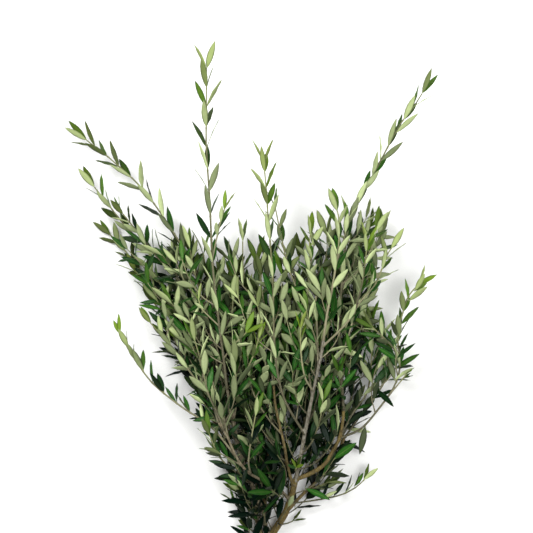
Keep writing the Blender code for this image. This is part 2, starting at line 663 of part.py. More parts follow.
def mesh_object(name, build, home):
    """An object from a mesh under construction, put in the collection home."""
    mesh = bpy.data.meshes.new(name)
    build.to_mesh(mesh)
    build.free()
    made = bpy.data.objects.new(name, mesh)
    home.objects.link(made)
    return made


def fused(name, shapes, finish):
    """One solid from overlapping shapes: the first one, with the rest joined to it by a Boolean union."""
    scene_home = bpy.context.scene.collection
    body = mesh_object(name, shapes[0], scene_home)
    body.data.materials.append(finish)
    repeats = bpy.data.collections.new(name + "_repeats")
    scene_home.children.link(repeats)
    for number, shape in enumerate(shapes[1:]):
        mesh_object(f"{name}_repeat_{number}", shape, repeats)
    union = body.modifiers.new("union", "BOOLEAN")
    union.operation = "UNION"
    union.operand_type = "COLLECTION"
    union.collection = repeats
    union.solver = "EXACT"
    union.use_self = True
    graph = bpy.context.evaluated_depsgraph_get()
    body_mesh = bpy.data.meshes.new_from_object(body.evaluated_get(graph))
    body.modifiers.clear()
    body.data = body_mesh
    body_mesh.shade_smooth()
    body_mesh.set_sharp_from_angle(angle=math.radians(SHARP_DEG))
    for repeat in list(repeats.objects):
        bpy.data.objects.remove(repeat)
    bpy.data.collections.remove(repeats)
    return body


def stand_at(body, foot, parent, parent_foot):
    """Puts an object's origin at its foot, in millimetres, and parents it to what it grows from."""
    body.data.transform(Matrix.Translation(foot * -MM))
    body.parent = parent
    body.location = (foot - parent_foot) * MM


def stem_shape(stem, route):
    """The tube of one stem, from where its own solid begins to its tip."""
    if isinstance(stem, Shoot):
        stations = ring_stations(route, route.start, TWIG_RING_SPACING)
        return tube(route, stations, TWIG_SIDES, start_heading=route.start_heading)
    sides = WOOD_SIDES if stem.parent else TRUNK_SIDES
    return tube(route, ring_stations(route, 0.0, WOOD_RING_SPACING), sides)


def foot_stub(route):
    """The collar that a side shoot grows from, which belongs to its parent."""
    return tube(route, (0.0, route.start - FACE_GAP), STUB_SIDES, swell=COLLAR)


def main():
    """Models the whole branch, one object for the bough and one for each leafy shoot."""
    for old in list(bpy.data.objects):
        bpy.data.objects.remove(old)
    bark = material("olive_bark", BARK, 0.8)
    foliage = material("olive_leaf", LEAF_GREEN, 0.5)
    routes = routed()
    owners = {limb.name: BOUGH for limb in LIMBS} | {shoot.name: shoot.name for shoot in SHOOTS}
    solids = {BOUGH: [stem_shape(limb, routes[limb.name]) for limb in LIMBS]}
    for shoot in SHOOTS:
        solids[shoot.name] = [stem_shape(shoot, routes[shoot.name])]
    for shoot in SHOOTS:
        route = routes[shoot.name]
        if route.start > FACE_GAP:
            solids[owners[shoot.parent]].append(foot_stub(route))
    thicket = Thicket()
    for owner, shapes in solids.items():
        for shape in shapes:
            thicket.add(shape, owner)
    for shoot in SHOOTS:
        route = routes[shoot.name]
        stations = ring_stations(route, route.start, TWIG_RING_SPACING)
        for wish in leaf_wishes(shoot, route):
            blade = placed_leaf(shoot, route, stations, wish, thicket)
            if blade:
                solids[shoot.name].append(blade)
    bodies = {name: fused(name, shapes, bark if name == BOUGH else foliage)
              for name, shapes in solids.items()}
    feet = {shoot.name: routes[shoot.name].points[0] for shoot in SHOOTS} | {BOUGH: np.zeros(3)}
    for shoot in SHOOTS:
        parent = owners[shoot.parent]
        stand_at(bodies[shoot.name], feet[shoot.name], bodies[parent], feet[parent])


main()
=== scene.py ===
"""An olive branch laid on a pale surface and looked down on: the bark, twigs and leaves round its solids.

+X runs across the branch, +Y from the cut end to the tips, and +Z up from the surface. The stems and the
leaves of the solids are grown again here by the same seeded rule, in millimetres, and drawn finer. The
rest of the leaves and side twigs then grow between them. Meshes are in metres.
"""

import json
import logging
import math
import random
from dataclasses import dataclass, field
from enum import Enum

import bmesh
import bpy
import numpy as np
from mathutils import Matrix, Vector
from mathutils.bvhtree import BVHTree
from mathutils.kdtree import KDTree

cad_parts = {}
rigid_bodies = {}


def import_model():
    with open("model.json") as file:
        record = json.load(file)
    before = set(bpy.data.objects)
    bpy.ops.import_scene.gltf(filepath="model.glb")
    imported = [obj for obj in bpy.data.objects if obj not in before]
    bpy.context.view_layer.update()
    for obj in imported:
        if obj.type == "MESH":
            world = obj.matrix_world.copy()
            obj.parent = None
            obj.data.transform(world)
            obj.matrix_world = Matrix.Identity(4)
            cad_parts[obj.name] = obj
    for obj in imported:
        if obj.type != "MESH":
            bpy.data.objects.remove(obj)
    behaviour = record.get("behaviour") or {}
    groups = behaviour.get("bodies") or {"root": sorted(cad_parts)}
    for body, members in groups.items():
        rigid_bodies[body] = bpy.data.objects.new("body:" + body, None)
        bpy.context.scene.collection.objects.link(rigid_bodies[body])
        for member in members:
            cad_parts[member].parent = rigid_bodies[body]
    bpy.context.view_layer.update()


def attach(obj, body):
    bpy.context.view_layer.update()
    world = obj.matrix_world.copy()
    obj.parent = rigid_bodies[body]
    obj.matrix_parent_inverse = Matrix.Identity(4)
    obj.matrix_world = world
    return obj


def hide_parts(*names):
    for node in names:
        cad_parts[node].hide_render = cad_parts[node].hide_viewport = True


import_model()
LOG = logging.getLogger("olive_branch")

MM = 0.001
SEED = "olive"
BOUGH = "bough"
BODY = "root"

Point = tuple[float, float, float]
Range = tuple[float, float]
Socket = bpy.types.NodeSocket

# The rule by which the solids' leaves grew, in millimetres and degrees.
LEAF_WIDTH_SHARE = 0.215
LEAF_RINGS = (0.3, 0.68)
WIDEST_EARLY = 0.9
FULLNESS = 0.75
KEEL_DEPTH = 1.35
KEEL_TAPER = 0.4
FOLD = 0.16
BEND_RANGE = (0.03, 0.12)
SICKLE = 0.05
ROOT_BEHIND_AXIS = 0.35
FIRST_LEAF = 6.0
LAST_LEAF_SHARE = 0.35
CROWDING = 0.3
LARGEST_AT = 0.55
END_SHRINK = 0.25
TIP_INSET = 1.2
TIP_OPENING_DEG = 19.0
TIP_SIZE = 0.95
QUARTER_TURN_DEG = 90.0
HALF_TURN_DEG = 180.0
AZIMUTH_JITTER_DEG = 14.0
OPENING_JITTER_DEG = 7.0
TWIST_JITTER_DEG = 22.0
EDGE_TWIST_DEG = (35.0, 80.0)
UNDERSIDE_SHARE = 0.6
SIZE_JITTER = 0.1
LEAF_CLEARANCE = 0.5
EDGE_CLEARANCE = 1.5
OWN_TEST_FROM = 0.2

# A leaf is turned round its stem, opened wider and shortened by each of these in turn until it is clear.
LEAF_TRIES = (
    (0, 0, 1.0), (20, 3, 1.0), (-20, 3, 1.0), (38, -4, 0.97), (-38, -4, 0.97), (10, 12, 0.95),
    (-10, 12, 0.95), (60, 4, 0.92), (-60, 4, 0.92), (0, -9, 0.9), (90, 6, 0.88), (-90, 6, 0.88),
    (30, 18, 0.85), (-30, 18, 0.85), (0, -6, 0.75),
)

# The rule by which the solids' stems were drawn, in millimetres.
TWIG_SIDES = 4
TWIG_RING_SPACING = 50.0
WOOD_SIDES = 6
WOOD_RING_SPACING = 36.0
TRUNK_SIDES = 10
STUB_SIDES = 4
COLLAR = 1.15
ROUTE_STEP = 2.0
HEADING_REACH = 1.5
UPRIGHT = 0.9
FACE_GAP = 0.3
END_REACH = 4.0
SHORTEST_STUB = 2.0
STUB_STEP = 0.5
STUB_CLEARANCE = 0.8

# How a shoot's stem is bent clear of the stems before it, in millimetres.
TWIG_CLEARANCE = 1.2
BEND_PASSES = 8
FREE_FOOT = 16.0
BEND_REACH = 30.0
BEND_EXTRA = 0.4
TOO_LOW_TO_DIP = 12.0

# How the photograph lies on the branch: its scale, the millimetre axes' zero in its pixels, and its side.
MM_PER_PIXEL = 1.5
ZERO_PX = (262.0, 575.0)
PHOTO_PX = 533.0

# The dense head of the branch in the photograph, and the clump of leaves at its right. The added twigs stay
# inside them.
HEAD_OUTLINE_PX = (
    (246, 533), (234, 505), (222, 465), (208, 425), (196, 395), (184, 362), (170, 330), (156, 300),
    (136, 276), (118, 262), (102, 228), (118, 216), (150, 236), (176, 232), (196, 245), (208, 232),
    (222, 236), (234, 244), (248, 250), (262, 242), (280, 240), (296, 247), (312, 224), (330, 202),
    (352, 214), (368, 200), (384, 214), (394, 238), (384, 262), (368, 284), (358, 310), (356, 340),
    (360, 372), (358, 405), (355, 440), (343, 468), (326, 486), (308, 514), (292, 533),
)
RIGHT_CLUMP_PX = ((372, 372), (366, 345), (380, 322), (400, 318), (408, 345), (402, 372), (388, 385))

# The dark leaves that hang apart from the rest in the photograph: the shoot, the share of it that they
# grow at, their direction and their length in millimetres.
LONE_LEAVES = (
    ("right_outer_shoot", 0.16, (-0.14, -0.98, -0.14), 46.0),
)
LONE_LEAF_TONE = 0.1

# The least height of a finer leaf over the surface, in millimetres.
LOWEST_LEAF = 0.05

# How broad the finer leaves are against the usual one: each draws a number, and the longest shoots' are slim.
BREADTHS = (0.86, 1.16)
LONG_SHOOTS = ("tall_shoot", "far_right_shoot", "far_left_shoot", "centre_shoot")
LONG_SHOOT_BREADTH = 0.84

# The share of a shoot from which its leaves are young.
YOUNG_FROM = 0.55

# Leaves and twigs near the cut end and deep inside are painted darker, as painted shade. The first two are
# the ranges, along the branch and up from the surface, over which that painted shade passes. Past the first
# the tips get some painted light at any depth, and so does the branch's right side.
PAINTED_SHADE_ALONG = (60.0, 400.0)
PAINTED_SHADE_DEPTH = (20.0, 120.0)
LEAST_PAINTED_LIGHT = 0.12
PAINTED_TIP_LIGHT_ALONG = (PAINTED_SHADE_ALONG[1], 560.0)
PAINTED_TIP_LIGHT = 0.5
PAINTED_LIT_SIDE = (110.0, 180.0)
PAINTED_SIDE_LIGHT = 0.95

# How a leaf's tone falls with the painted light, and the share of the leaves that are dark in deep painted
# shade, with the tone of the palest of the others.
TONE_POWER = 0.48
PAINTED_SHADE_POWER = 1.5
DARK_SHARE = 0.8
PALEST_IN_PAINTED_SHADE = 0.8


@dataclass(frozen=True)
class Stem:
    """A woody stem: the stem that it grows from, the points it passes, and its foot and tip radii."""

    name: str
    parent: str
    through: tuple[Point, ...]
    radii: Range


@dataclass(frozen=True)
class Shoot(Stem):
    """A leafy stem, with its leaves in crossed pairs.

    Its usual leaf's length and its pairs' spacing are millimetres, and bare is the share of it that has no
    leaves. Its solid has one leaf of each pair unless it is full. The leaves open by an angle, seek the
    light by a share, and start from one turn round the stem.
    """

    leaf: float = 42.0
    spacing: float = 27.0
    bare: float = 0.12
    full: bool = False
    opening_deg: float = 34.0
    seek: float = 0.25
    turn_deg: float = 20.0


LIMBS = (
    Stem("trunk", "", ((-4, -24, 5.8), (0, 0, 5.8), (3, 15, 6), (6, 28, 7.5), (9, 48, 11)), (7.2, 6.4)),
    Stem("right_limb", "trunk",
         ((9, 46, 11), (20, 66, 18), (35, 91, 30), (43, 114, 40), (49, 135, 50), (50, 143, 53)), (6.0, 4.4)),
    Stem("right_fork", "right_limb",
         ((50, 143, 53), (73, 152, 54), (93, 165, 55), (104, 181, 57), (116, 205, 60), (121, 230, 64),
          (122, 247, 67)), (3.6, 2.4)),
    Stem("grey_fork", "right_limb",
         ((49, 134, 50), (55, 165, 62), (59, 185, 70), (66, 223, 84), (78, 284, 102), (89, 337, 114),
          (91, 353, 118)), (3.3, 2.3)),
    Stem("centre_fork", "right_limb",
         ((48, 128, 47), (38, 166, 62), (33, 197, 70), (21, 250, 80), (17, 285, 86)), (2.5, 1.9)),
    Stem("left_fork", "right_limb",
         ((42, 110, 39), (25, 129, 60), (-4, 145, 82), (-23, 158, 95), (-38, 179, 104), (-52, 210, 110),
          (-65, 231, 114)), (2.6, 1.9)),
    Stem("left_limb", "trunk",
         ((8, 44, 10), (2, 93, 34), (-8, 113, 44), (-13, 129, 50), (-23, 155, 60), (-33, 185, 68),
          (-39, 211, 76), (-44, 240, 83), (-52, 279, 92)), (3.8, 2.3)),
    Stem("low_left_limb", "trunk",
         ((5, 34, 9), (-8, 80, 12), (-14, 105, 15), (-30, 150, 20), (-60, 210, 28), (-80, 240, 32)),
         (3.6, 2.0)),
    Stem("low_centre_limb", "trunk",
         ((8, 44, 10), (4, 82, 14), (4, 130, 20), (10, 190, 26), (8, 240, 32)), (3.2, 1.9)),
    Stem("low_right_limb", "right_limb",
         ((34, 89, 29), (60, 118, 28), (84, 140, 27), (108, 170, 27), (125, 205, 28)), (3.0, 1.9)),
)

SHOOTS = (
    # The long shoots that make the outline.
    Shoot("tall_shoot", "left_limb",
          ((-52, 279, 92), (-58, 333, 100), (-64, 379, 106), (-73, 461, 108), (-78, 562, 100),
           (-83, 640, 92), (-83, 700, 84), (-83, 758, 77)), (2.2, 0.9),
          leaf=50, spacing=38, bare=0.16, full=True, opening_deg=27, seek=0.1),
    Shoot("far_right_shoot", "right_fork",
          ((122, 247, 67), (120, 284, 76), (119, 337, 86), (115, 371, 90), (121, 457, 88), (133, 543, 80),
           (153, 576, 76), (178, 622, 70), (206, 674, 62), (226, 700, 58), (240, 722, 55)), (2.3, 0.9),
          leaf=46, spacing=30, bare=0.1, full=True, opening_deg=22, seek=0.1),
    Shoot("far_left_shoot", "left_limb",
          ((-39, 211, 76), (-58, 280, 72), (-75, 350, 68), (-94, 444, 66), (-124, 500, 64),
           (-175, 574, 60), (-225, 622, 56), (-263, 652, 50)), (2.0, 0.9),
          leaf=47, spacing=31, bare=0.42, full=True, opening_deg=26, seek=0.12),
    Shoot("centre_shoot", "grey_fork",
          ((64, 213, 80), (37, 257, 98), (25, 295, 108), (19, 342, 114), (17, 390, 118), (16, 448, 118),
           (10, 524, 112), (7, 569, 108), (3, 616, 102)), (2.1, 0.9),
          leaf=47, spacing=32, bare=0.2, full=True, opening_deg=28, seek=0.1),
    Shoot("low_left_outer_shoot", "left_fork",
          ((-38, 179, 104), (-75, 223, 100), (-121, 254, 92), (-161, 286, 84), (-186, 317, 76),
           (-202, 342, 70), (-213, 362, 66)), (1.7, 0.9),
          leaf=36, spacing=26, bare=0.22, full=True, seek=1.4),
    Shoot("low_left_upper_shoot", "left_fork",
          ((-65, 231, 114), (-76, 267, 112), (-94, 288, 108), (-132, 340, 98), (-152, 362, 92),
           (-166, 378, 88)), (1.8, 0.9),
          leaf=36, spacing=24, bare=0.12, full=True, seek=0.7),
    Shoot("far_left_second_shoot", "low_left_limb",
          ((-80, 240, 32), (-88, 300, 38), (-97, 394, 46), (-110, 421, 48), (-151, 471, 48),
           (-201, 519, 46), (-236, 562, 42), (-252, 582, 40)), (1.9, 0.9),
          leaf=40, spacing=28, bare=0.2, full=True, opening_deg=30),
    Shoot("far_left_third_shoot", "low_left_limb",
          ((-70, 225, 30), (-100, 300, 26), (-116, 367, 26), (-155, 421, 22), (-180, 453, 18),
           (-215, 496, 12), (-229, 510, 9)), (1.7, 0.9), leaf=38, spacing=22, bare=0.2),
    Shoot("right_outer_shoot", "right_fork",
          ((116, 205, 60), (148, 219, 58), (175, 249, 56), (198, 282, 56), (207, 315, 60), (203, 361, 66),
           (210, 390, 66), (219, 417, 62), (234, 435, 58)), (1.8, 0.9),
          leaf=38, spacing=24, bare=0.42, full=True, seek=0.3),
    Shoot("low_right_shoot", "right_limb",
          ((41, 105, 36), (81, 111, 36), (117, 118, 32), (140, 129, 30), (154, 141, 29)), (1.4, 0.9),
          leaf=30, spacing=20, bare=0.34, full=True, seek=1.3),
    Shoot("crown_centre_shoot", "grey_fork",
          ((91, 353, 118), (97, 394, 124), (104, 429, 126), (114, 496, 124), (114, 534, 120),
           (112, 545, 118)), (2.0, 0.9), leaf=42, spacing=27, bare=0.12),
    Shoot("crown_right_shoot", "grey_fork",
          ((90, 343, 116), (124, 377, 124), (145, 409, 122), (169, 438, 116), (185, 477, 108),
           (192, 489, 106)), (1.8, 0.9), leaf=40, spacing=25, bare=0.12),
    # Shoots near the front, seen against the others.
    Shoot("left_front_shoot", "left_fork",
          ((-57, 218, 112), (-66, 245, 122), (-80, 275, 130), (-90, 320, 136), (-99, 352, 138)), (1.7, 0.9),
          leaf=46, spacing=28, bare=0.15, seek=0.15, turn_deg=60),
    Shoot("tall_side_right_shoot", "tall_shoot",
          ((-73, 475, 107), (-65, 515, 112), (-61, 532, 113), (-56, 547, 114)), (1.2, 0.9),
          leaf=34, spacing=22, bare=0.3),
    Shoot("tall_side_left_shoot", "tall_shoot",
          ((-63, 374, 105), (-80, 390, 120), (-90, 401, 126), (-94, 414, 128)), (1.2, 0.9),
          leaf=26, spacing=17, bare=0.3),
    Shoot("tall_side_low_shoot", "tall_shoot",
          ((-57, 325, 99), (-42, 346, 114), (-32, 356, 122), (-24, 364, 126)), (1.3, 0.9),
          leaf=38, spacing=18, bare=0.3),
    Shoot("bright_front_shoot", "grey_fork",
          ((76, 276, 100), (64, 298, 118), (58, 333, 128), (57, 371, 134)), (1.5, 0.9),
          leaf=32, spacing=22, bare=0.2, turn_deg=50),
    Shoot("left_bright_shoot", "left_limb",
          ((-43, 232, 81), (-33, 282, 100), (-13, 330, 114), (-5, 355, 120)), (1.5, 0.9),
          leaf=34, spacing=25, bare=0.15),
    Shoot("fork_left_shoot", "grey_fork",
          ((86, 324, 111), (78, 360, 128), (70, 380, 136), (66, 398, 140)), (1.4, 0.9),
          leaf=34, spacing=22, bare=0.2),
    Shoot("low_centre_bright_shoot", "grey_fork",
          ((54, 160, 60), (50, 158, 74), (50, 159, 88), (51, 163, 99)), (1.6, 0.9),
          leaf=26, spacing=13, bare=0.3),
    Shoot("centre_side_shoot", "grey_fork",
          ((75, 268, 97), (66, 330, 88), (60, 380, 86), (52, 427, 86), (38, 466, 88), (28, 511, 90),
           (20, 550, 90)), (1.7, 0.9), leaf=38, spacing=28, bare=0.15),
    Shoot("crown_left_shoot", "grey_fork",
          ((85, 312, 108), (82, 370, 100), (80, 410, 98), (82, 440, 95), (71, 480, 92), (72, 510, 90)),
          (1.7, 0.9), leaf=38, spacing=26, bare=0.15),
    Shoot("crown_right_side_shoot", "crown_right_shoot",
          ((140, 401, 123), (149, 440, 130), (153, 470, 134), (156, 495, 134)), (1.3, 0.9),
          leaf=36, spacing=22, bare=0.15),
    Shoot("crown_centre_side_shoot", "crown_centre_shoot",
          ((111, 470, 125), (122, 505, 114), (128, 532, 110)), (1.2, 0.9), leaf=34, spacing=21, bare=0.2),
    Shoot("far_right_side_shoot", "far_right_shoot",
          ((119, 430, 89), (134, 462, 76), (150, 500, 68), (162, 522, 64)), (1.3, 0.9),
          leaf=38, spacing=23, bare=0.15),
    Shoot("right_outer_low_shoot", "right_outer_shoot",
          ((190, 270, 56), (206, 288, 60), (216, 301, 62)), (1.2, 0.9), leaf=22, spacing=14, bare=0.4),
    Shoot("right_outer_left_shoot", "right_outer_shoot",
          ((206, 322, 61), (194, 344, 76), (178, 360, 84), (166, 371, 88)), (1.3, 0.9),
          leaf=38, spacing=17, bare=0.15, seek=-0.1),
    Shoot("far_left_second_side_shoot", "far_left_second_shoot",
          ((-160, 480, 48), (-188, 516, 62), (-208, 541, 64)), (1.2, 0.9), leaf=34, spacing=22, bare=0.15),
    Shoot("far_left_third_side_shoot", "far_left_third_shoot",
          ((-125, 384, 26), (-142, 412, 40), (-165, 436, 50), (-190, 455, 52)), (1.3, 0.9),
          leaf=36, spacing=22, bare=0.15),
    Shoot("fork_front_shoot", "left_fork",
          ((-16, 153, 90), (-20, 172, 110), (-16, 206, 126), (-10, 240, 132)), (1.5, 0.9),
          leaf=42, spacing=27, bare=0.22),
    Shoot("grey_fork_front_shoot", "grey_fork",
          ((58, 180, 68), (74, 200, 92), (86, 234, 112), (90, 262, 120)), (1.5, 0.9),
          leaf=40, spacing=26, bare=0.25, turn_deg=60),
    Shoot("left_limb_front_shoot", "left_limb",
          ((-20, 146, 57), (-42, 158, 78), (-64, 180, 96), (-78, 212, 108)), (1.5, 0.9),
          leaf=40, spacing=26, bare=0.3),
    # Shoots inside the head of the branch.
    Shoot("centre_mid_shoot", "centre_fork",
          ((17, 285, 86), (9, 367, 82), (0, 427, 80), (-2, 460, 78)), (1.8, 0.9), spacing=31),
    Shoot("centre_mid_left_shoot", "centre_fork",
          ((29, 210, 73), (6, 240, 84), (-14, 277, 90), (-22, 320, 92)), (1.4, 0.9), leaf=38),
    Shoot("centre_mid_right_shoot", "grey_fork",
          ((65, 220, 83), (84, 262, 72), (94, 307, 68), (99, 367, 66)), (1.5, 0.9), leaf=42),
    Shoot("centre_deep_shoot", "centre_fork",
          ((39, 162, 61), (12, 205, 54), (-6, 250, 52), (-12, 300, 52)), (1.5, 0.9), leaf=42, spacing=33),
    Shoot("centre_deep_right_shoot", "grey_fork",
          ((57, 176, 67), (66, 240, 52), (78, 300, 48), (88, 380, 46), (90, 430, 44)), (1.6, 0.9)),
    Shoot("centre_thin_shoot", "low_centre_limb",
          ((10, 205, 28), (-6, 300, 50), (-20, 400, 58), (-28, 460, 60), (-29, 500, 60)), (1.6, 0.9),
          leaf=38, spacing=38),
    Shoot("left_inner_shoot", "left_limb",
          ((-33, 187, 69), (-66, 262, 60), (-84, 306, 57), (-108, 352, 56), (-138, 412, 54),
           (-165, 455, 54)), (1.7, 0.9), spacing=36),
    Shoot("left_middle_shoot", "left_fork",
          ((-50, 205, 109), (-62, 255, 98), (-85, 320, 90), (-105, 345, 88), (-122, 356, 88)), (1.5, 0.9),
          leaf=38, spacing=25),
    Shoot("left_upper_shoot", "left_limb",
          ((-46, 250, 85), (-62, 322, 84), (-85, 397, 84), (-102, 460, 80), (-108, 490, 78)), (1.6, 0.9),
          leaf=38, spacing=26),
    Shoot("left_behind_shoot", "low_left_limb",
          ((-74, 231, 31), (-72, 330, 46), (-80, 430, 46), (-88, 480, 46)), (1.6, 0.9), spacing=38),
    Shoot("right_inner_shoot", "right_fork",
          ((109, 191, 58), (135, 240, 48), (159, 277, 44), (165, 337, 46), (165, 382, 48)), (1.5, 0.9),
          leaf=38, spacing=25),
    Shoot("right_middle_shoot", "far_right_shoot",
          ((119, 330, 85), (132, 370, 98), (144, 420, 98), (150, 445, 96)), (1.4, 0.9), leaf=38, spacing=24),
    # The lowest shoots, some of whose leaves lie on the surface.
    Shoot("left_low_shoot", "low_left_limb",
          ((-50, 193, 25), (-90, 270, 13), (-130, 350, 9), (-170, 420, 8)), (1.6, 0.9), spacing=31),
    Shoot("left_low_inner_shoot", "low_left_limb",
          ((-33, 155, 21), (-32, 240, 12), (-50, 330, 9), (-60, 400, 9)), (1.5, 0.9), spacing=31),
    Shoot("centre_low_shoot", "low_centre_limb",
          ((8, 240, 32), (5, 330, 34), (0, 420, 38), (-8, 470, 40)), (1.7, 0.9), spacing=38),
    Shoot("centre_low_right_shoot", "low_centre_limb",
          ((10, 196, 27), (36, 300, 22), (54, 400, 20), (56, 475, 16)), (1.6, 0.9), spacing=36),
    Shoot("centre_low_left_shoot", "low_centre_limb",
          ((10, 214, 29), (-18, 300, 18), (-36, 380, 14), (-40, 440, 12)), (1.5, 0.9), spacing=27),
    Shoot("right_low_shoot", "low_right_limb",
          ((119, 190, 28), (138, 280, 16), (150, 360, 12), (158, 430, 12)), (1.6, 0.9), spacing=31),
    Shoot("right_low_centre_shoot", "low_right_limb",
          ((106, 167, 27), (104, 250, 14), (110, 340, 10), (124, 430, 9), (138, 490, 8)), (1.6, 0.9),
          spacing=31),
    Shoot("right_low_inner_shoot", "low_right_limb",
          ((88, 145, 27), (72, 220, 14), (64, 300, 10), (64, 370, 9)), (1.5, 0.9), spacing=31),
    Shoot("right_low_outer_shoot", "low_right_limb",
          ((125, 205, 28), (150, 240, 26), (185, 290, 25), (189, 337, 27)), (1.6, 0.9), leaf=38),
    # Short shoots near the cut end.
    Shoot("butt_left_shoot", "left_limb",
          ((1, 95, 35), (-12, 105, 50), (-24, 114, 58), (-33, 124, 62)), (1.3, 0.9),
          leaf=38, spacing=12, bare=0.3),
    Shoot("butt_low_left_shoot", "low_left_limb",
          ((-7, 77, 12), (-20, 88, 16), (-31, 94, 18), (-40, 104, 20)), (1.3, 0.9),
          leaf=30, spacing=14, bare=0.3),
    Shoot("butt_lowest_shoot", "low_left_limb",
          ((1, 52, 10), (-13, 62, 18), (-22, 70, 22)), (1.3, 0.9), leaf=28, spacing=12, bare=0.4),
    Shoot("butt_right_shoot", "right_limb",
          ((24, 73, 21), (36, 74, 18), (46, 78, 17)), (1.3, 0.9), leaf=26, spacing=14, bare=0.5),
    Shoot("low_right_second_shoot", "low_right_limb",
          ((64, 122, 28), (82, 131, 40), (98, 138, 44)), (1.3, 0.9), leaf=32, spacing=14, bare=0.3),
    Shoot("low_left_thin_shoot", "left_fork",
          ((-28, 165, 98), (-50, 178, 104), (-66, 186, 104)), (1.2, 0.9), leaf=32, spacing=15, bare=0.3),
)

# How yellow-green the young tip of a shoot is, from 0 to 1, where it isn't like the rest.
USUAL_FRESHNESS = 0.3
FRESHNESS = {
    "bright_front_shoot": 1.0, "left_bright_shoot": 0.8, "low_centre_bright_shoot": 0.75,
    "centre_shoot": 0.75, "tall_side_right_shoot": 0.8, "tall_side_left_shoot": 0.7, "tall_shoot": 0.55,
    "low_left_outer_shoot": 0.75, "low_left_upper_shoot": 0.5, "right_outer_shoot": 0.7,
    "crown_right_side_shoot": 0.75, "crown_right_shoot": 0.6, "crown_left_shoot": 0.5,
    "far_left_third_side_shoot": 0.7, "right_outer_low_shoot": 0.6, "tall_side_low_shoot": 0.55,
}

# How golden brown the bark of a limb is, from 0 for grey to 1.
GOLDEN = {
    "trunk": 0.8, "right_limb": 0.9, "right_fork": 0.85, "grey_fork": 0.0, "centre_fork": 0.75,
    "left_fork": 0.35, "left_limb": 0.3, "low_left_limb": 0.55, "low_centre_limb": 0.7, "low_right_limb": 0.8,
}


def unit(vector: np.ndarray) -> np.ndarray:
    """The vector at length one."""
    return vector / np.linalg.norm(vector)


def smooth(points: tuple[Point, ...]) -> np.ndarray:
    """Points along a Catmull-Rom curve.

    Args:
        points: the points that the curve passes, in millimetres.

    Returns:
        A row for each point, ROUTE_STEP or so apart.
    """
    points = np.array(points, float)
    ends = np.vstack([2 * points[0] - points[1], points, 2 * points[-1] - points[-2]])
    made = [points[0]]
    for before, start, end, after in zip(ends, ends[1:], ends[2:], ends[3:]):
        count = max(2, round(np.linalg.norm(end - start) / ROUTE_STEP))
        for t in np.arange(1, count + 1) / count:
            made.append(0.5 * (2 * start + (end - before) * t
                               + (2 * before - 5 * start + 4 * end - after) * t ** 2
                               + (3 * start - before - 3 * end + after) * t ** 3))
    return np.array(made)


class Route:
    """A stem's smooth centreline, whose radius tapers from its foot to its tip."""

    def __init__(self, through: tuple[Point, ...], radii: Range) -> None:
        """Draws the centreline.

        Args:
            through: the points that it passes, in millimetres.
            radii: the stem's radius at its foot and at its tip.
        """
        self.radii = radii
        self.set_points(smooth(through))
        self.start = 0.0
        self.start_heading = None

    def set_points(self, points: np.ndarray) -> None:
        """Takes these points, and measures the distance along them.

        Args:
            points: a row for each point, in millimetres.
        """
        self.points = points
        steps = np.linalg.norm(np.diff(points, axis=0), axis=1)
        self.along = np.concatenate([[0.0], np.cumsum(steps)])
        self.length = self.along[-1]

    def at(self, distance: float) -> np.ndarray:
        """The centreline's point at this distance from the foot."""
        return np.array([np.interp(distance, self.along, self.points[:, k]) for k in range(3)])

    def heading(self, distance: float) -> np.ndarray:
        """The unit direction towards the tip at this distance."""
        ahead = self.at(min(distance + HEADING_REACH, self.length))
        return unit(ahead - self.at(max(distance - HEADING_REACH, 0.0)))

    def radius(self, distance: float) -> float:
        """The stem's radius at this distance."""
        return np.interp(distance, [0.0, self.length], self.radii)

    def nearest(self, point: np.ndarray) -> float:
        """The distance along the stem of its point nearest to this one."""
        return self.along[np.argmin(np.linalg.norm(self.points - point, axis=1))]

    def bend_clear(self, others: list["Route"]) -> None:
        """Lifts or lowers the route, smoothly, where it would come too near one of the others.

        Args:
            others: the routes that it has to clear.
        """
        for _ in range(BEND_PASSES):
            clear = True
            for other in others:
                gaps = np.linalg.norm(self.points[:, None] - other.points[None], axis=2)
                gaps[self.along < FREE_FOOT] = np.inf
                here, there = np.unravel_index(np.argmin(gaps), gaps.shape)
                wanted = self.radius(self.along[here]) + other.radius(other.along[there]) + TWIG_CLEARANCE
                if gaps[here, there] >= wanted:
                    continue
                clear = False
                rise = self.points[here, 2] - other.points[there, 2]
                away = 1.0 if rise >= 0 or self.points[here, 2] < TOO_LOW_TO_DIP else -1.0
                reach = np.exp(-((self.along - self.along[here]) / BEND_REACH) ** 2)
                reach *= np.clip(self.along / FREE_FOOT, 0.0, 1.0)
                points = self.points.copy()
                points[:, 2] += away * (wanted - gaps[here, there] + BEND_EXTRA) * reach
                self.set_points(points)
            if clear:
                return

    def foot_length(self, parent: "Route") -> float:
        """How far along this side stem its own solid can begin, clear of its parent's.

        Args:
            parent: the route of the stem that it grows from.

        Returns:
            The distance from its foot, or its whole length where it is never clear.
        """
        for distance in np.arange(SHORTEST_STUB, self.length, STUB_STEP):
            point = self.at(distance)
            beside = parent.nearest(point)
            gap = np.linalg.norm(parent.at(beside) - point) - parent.radius(beside)
            if gap > COLLAR * self.radius(distance) + STUB_CLEARANCE:
                return distance
        return self.length

    def stations(self, start: float, spacing: float) -> np.ndarray:
        """Evenly spaced distances from start to the tip."""
        count = max(1, math.ceil((self.length - start) / spacing))
        return np.linspace(start, self.length, count + 1)

    def twig_stations(self) -> np.ndarray:
        """The distances of the rings of the stem's solid twig."""
        return self.stations(self.start, TWIG_RING_SPACING)

    def frame(self, distance: float) -> tuple[np.ndarray, np.ndarray]:
        """Two directions across the stem.

        Args:
            distance: how far along the stem.

        Returns:
            Its level side and its upper side there.
        """
        heading = self.heading(distance)
        side = level_side(heading)
        return side, np.cross(side, heading)


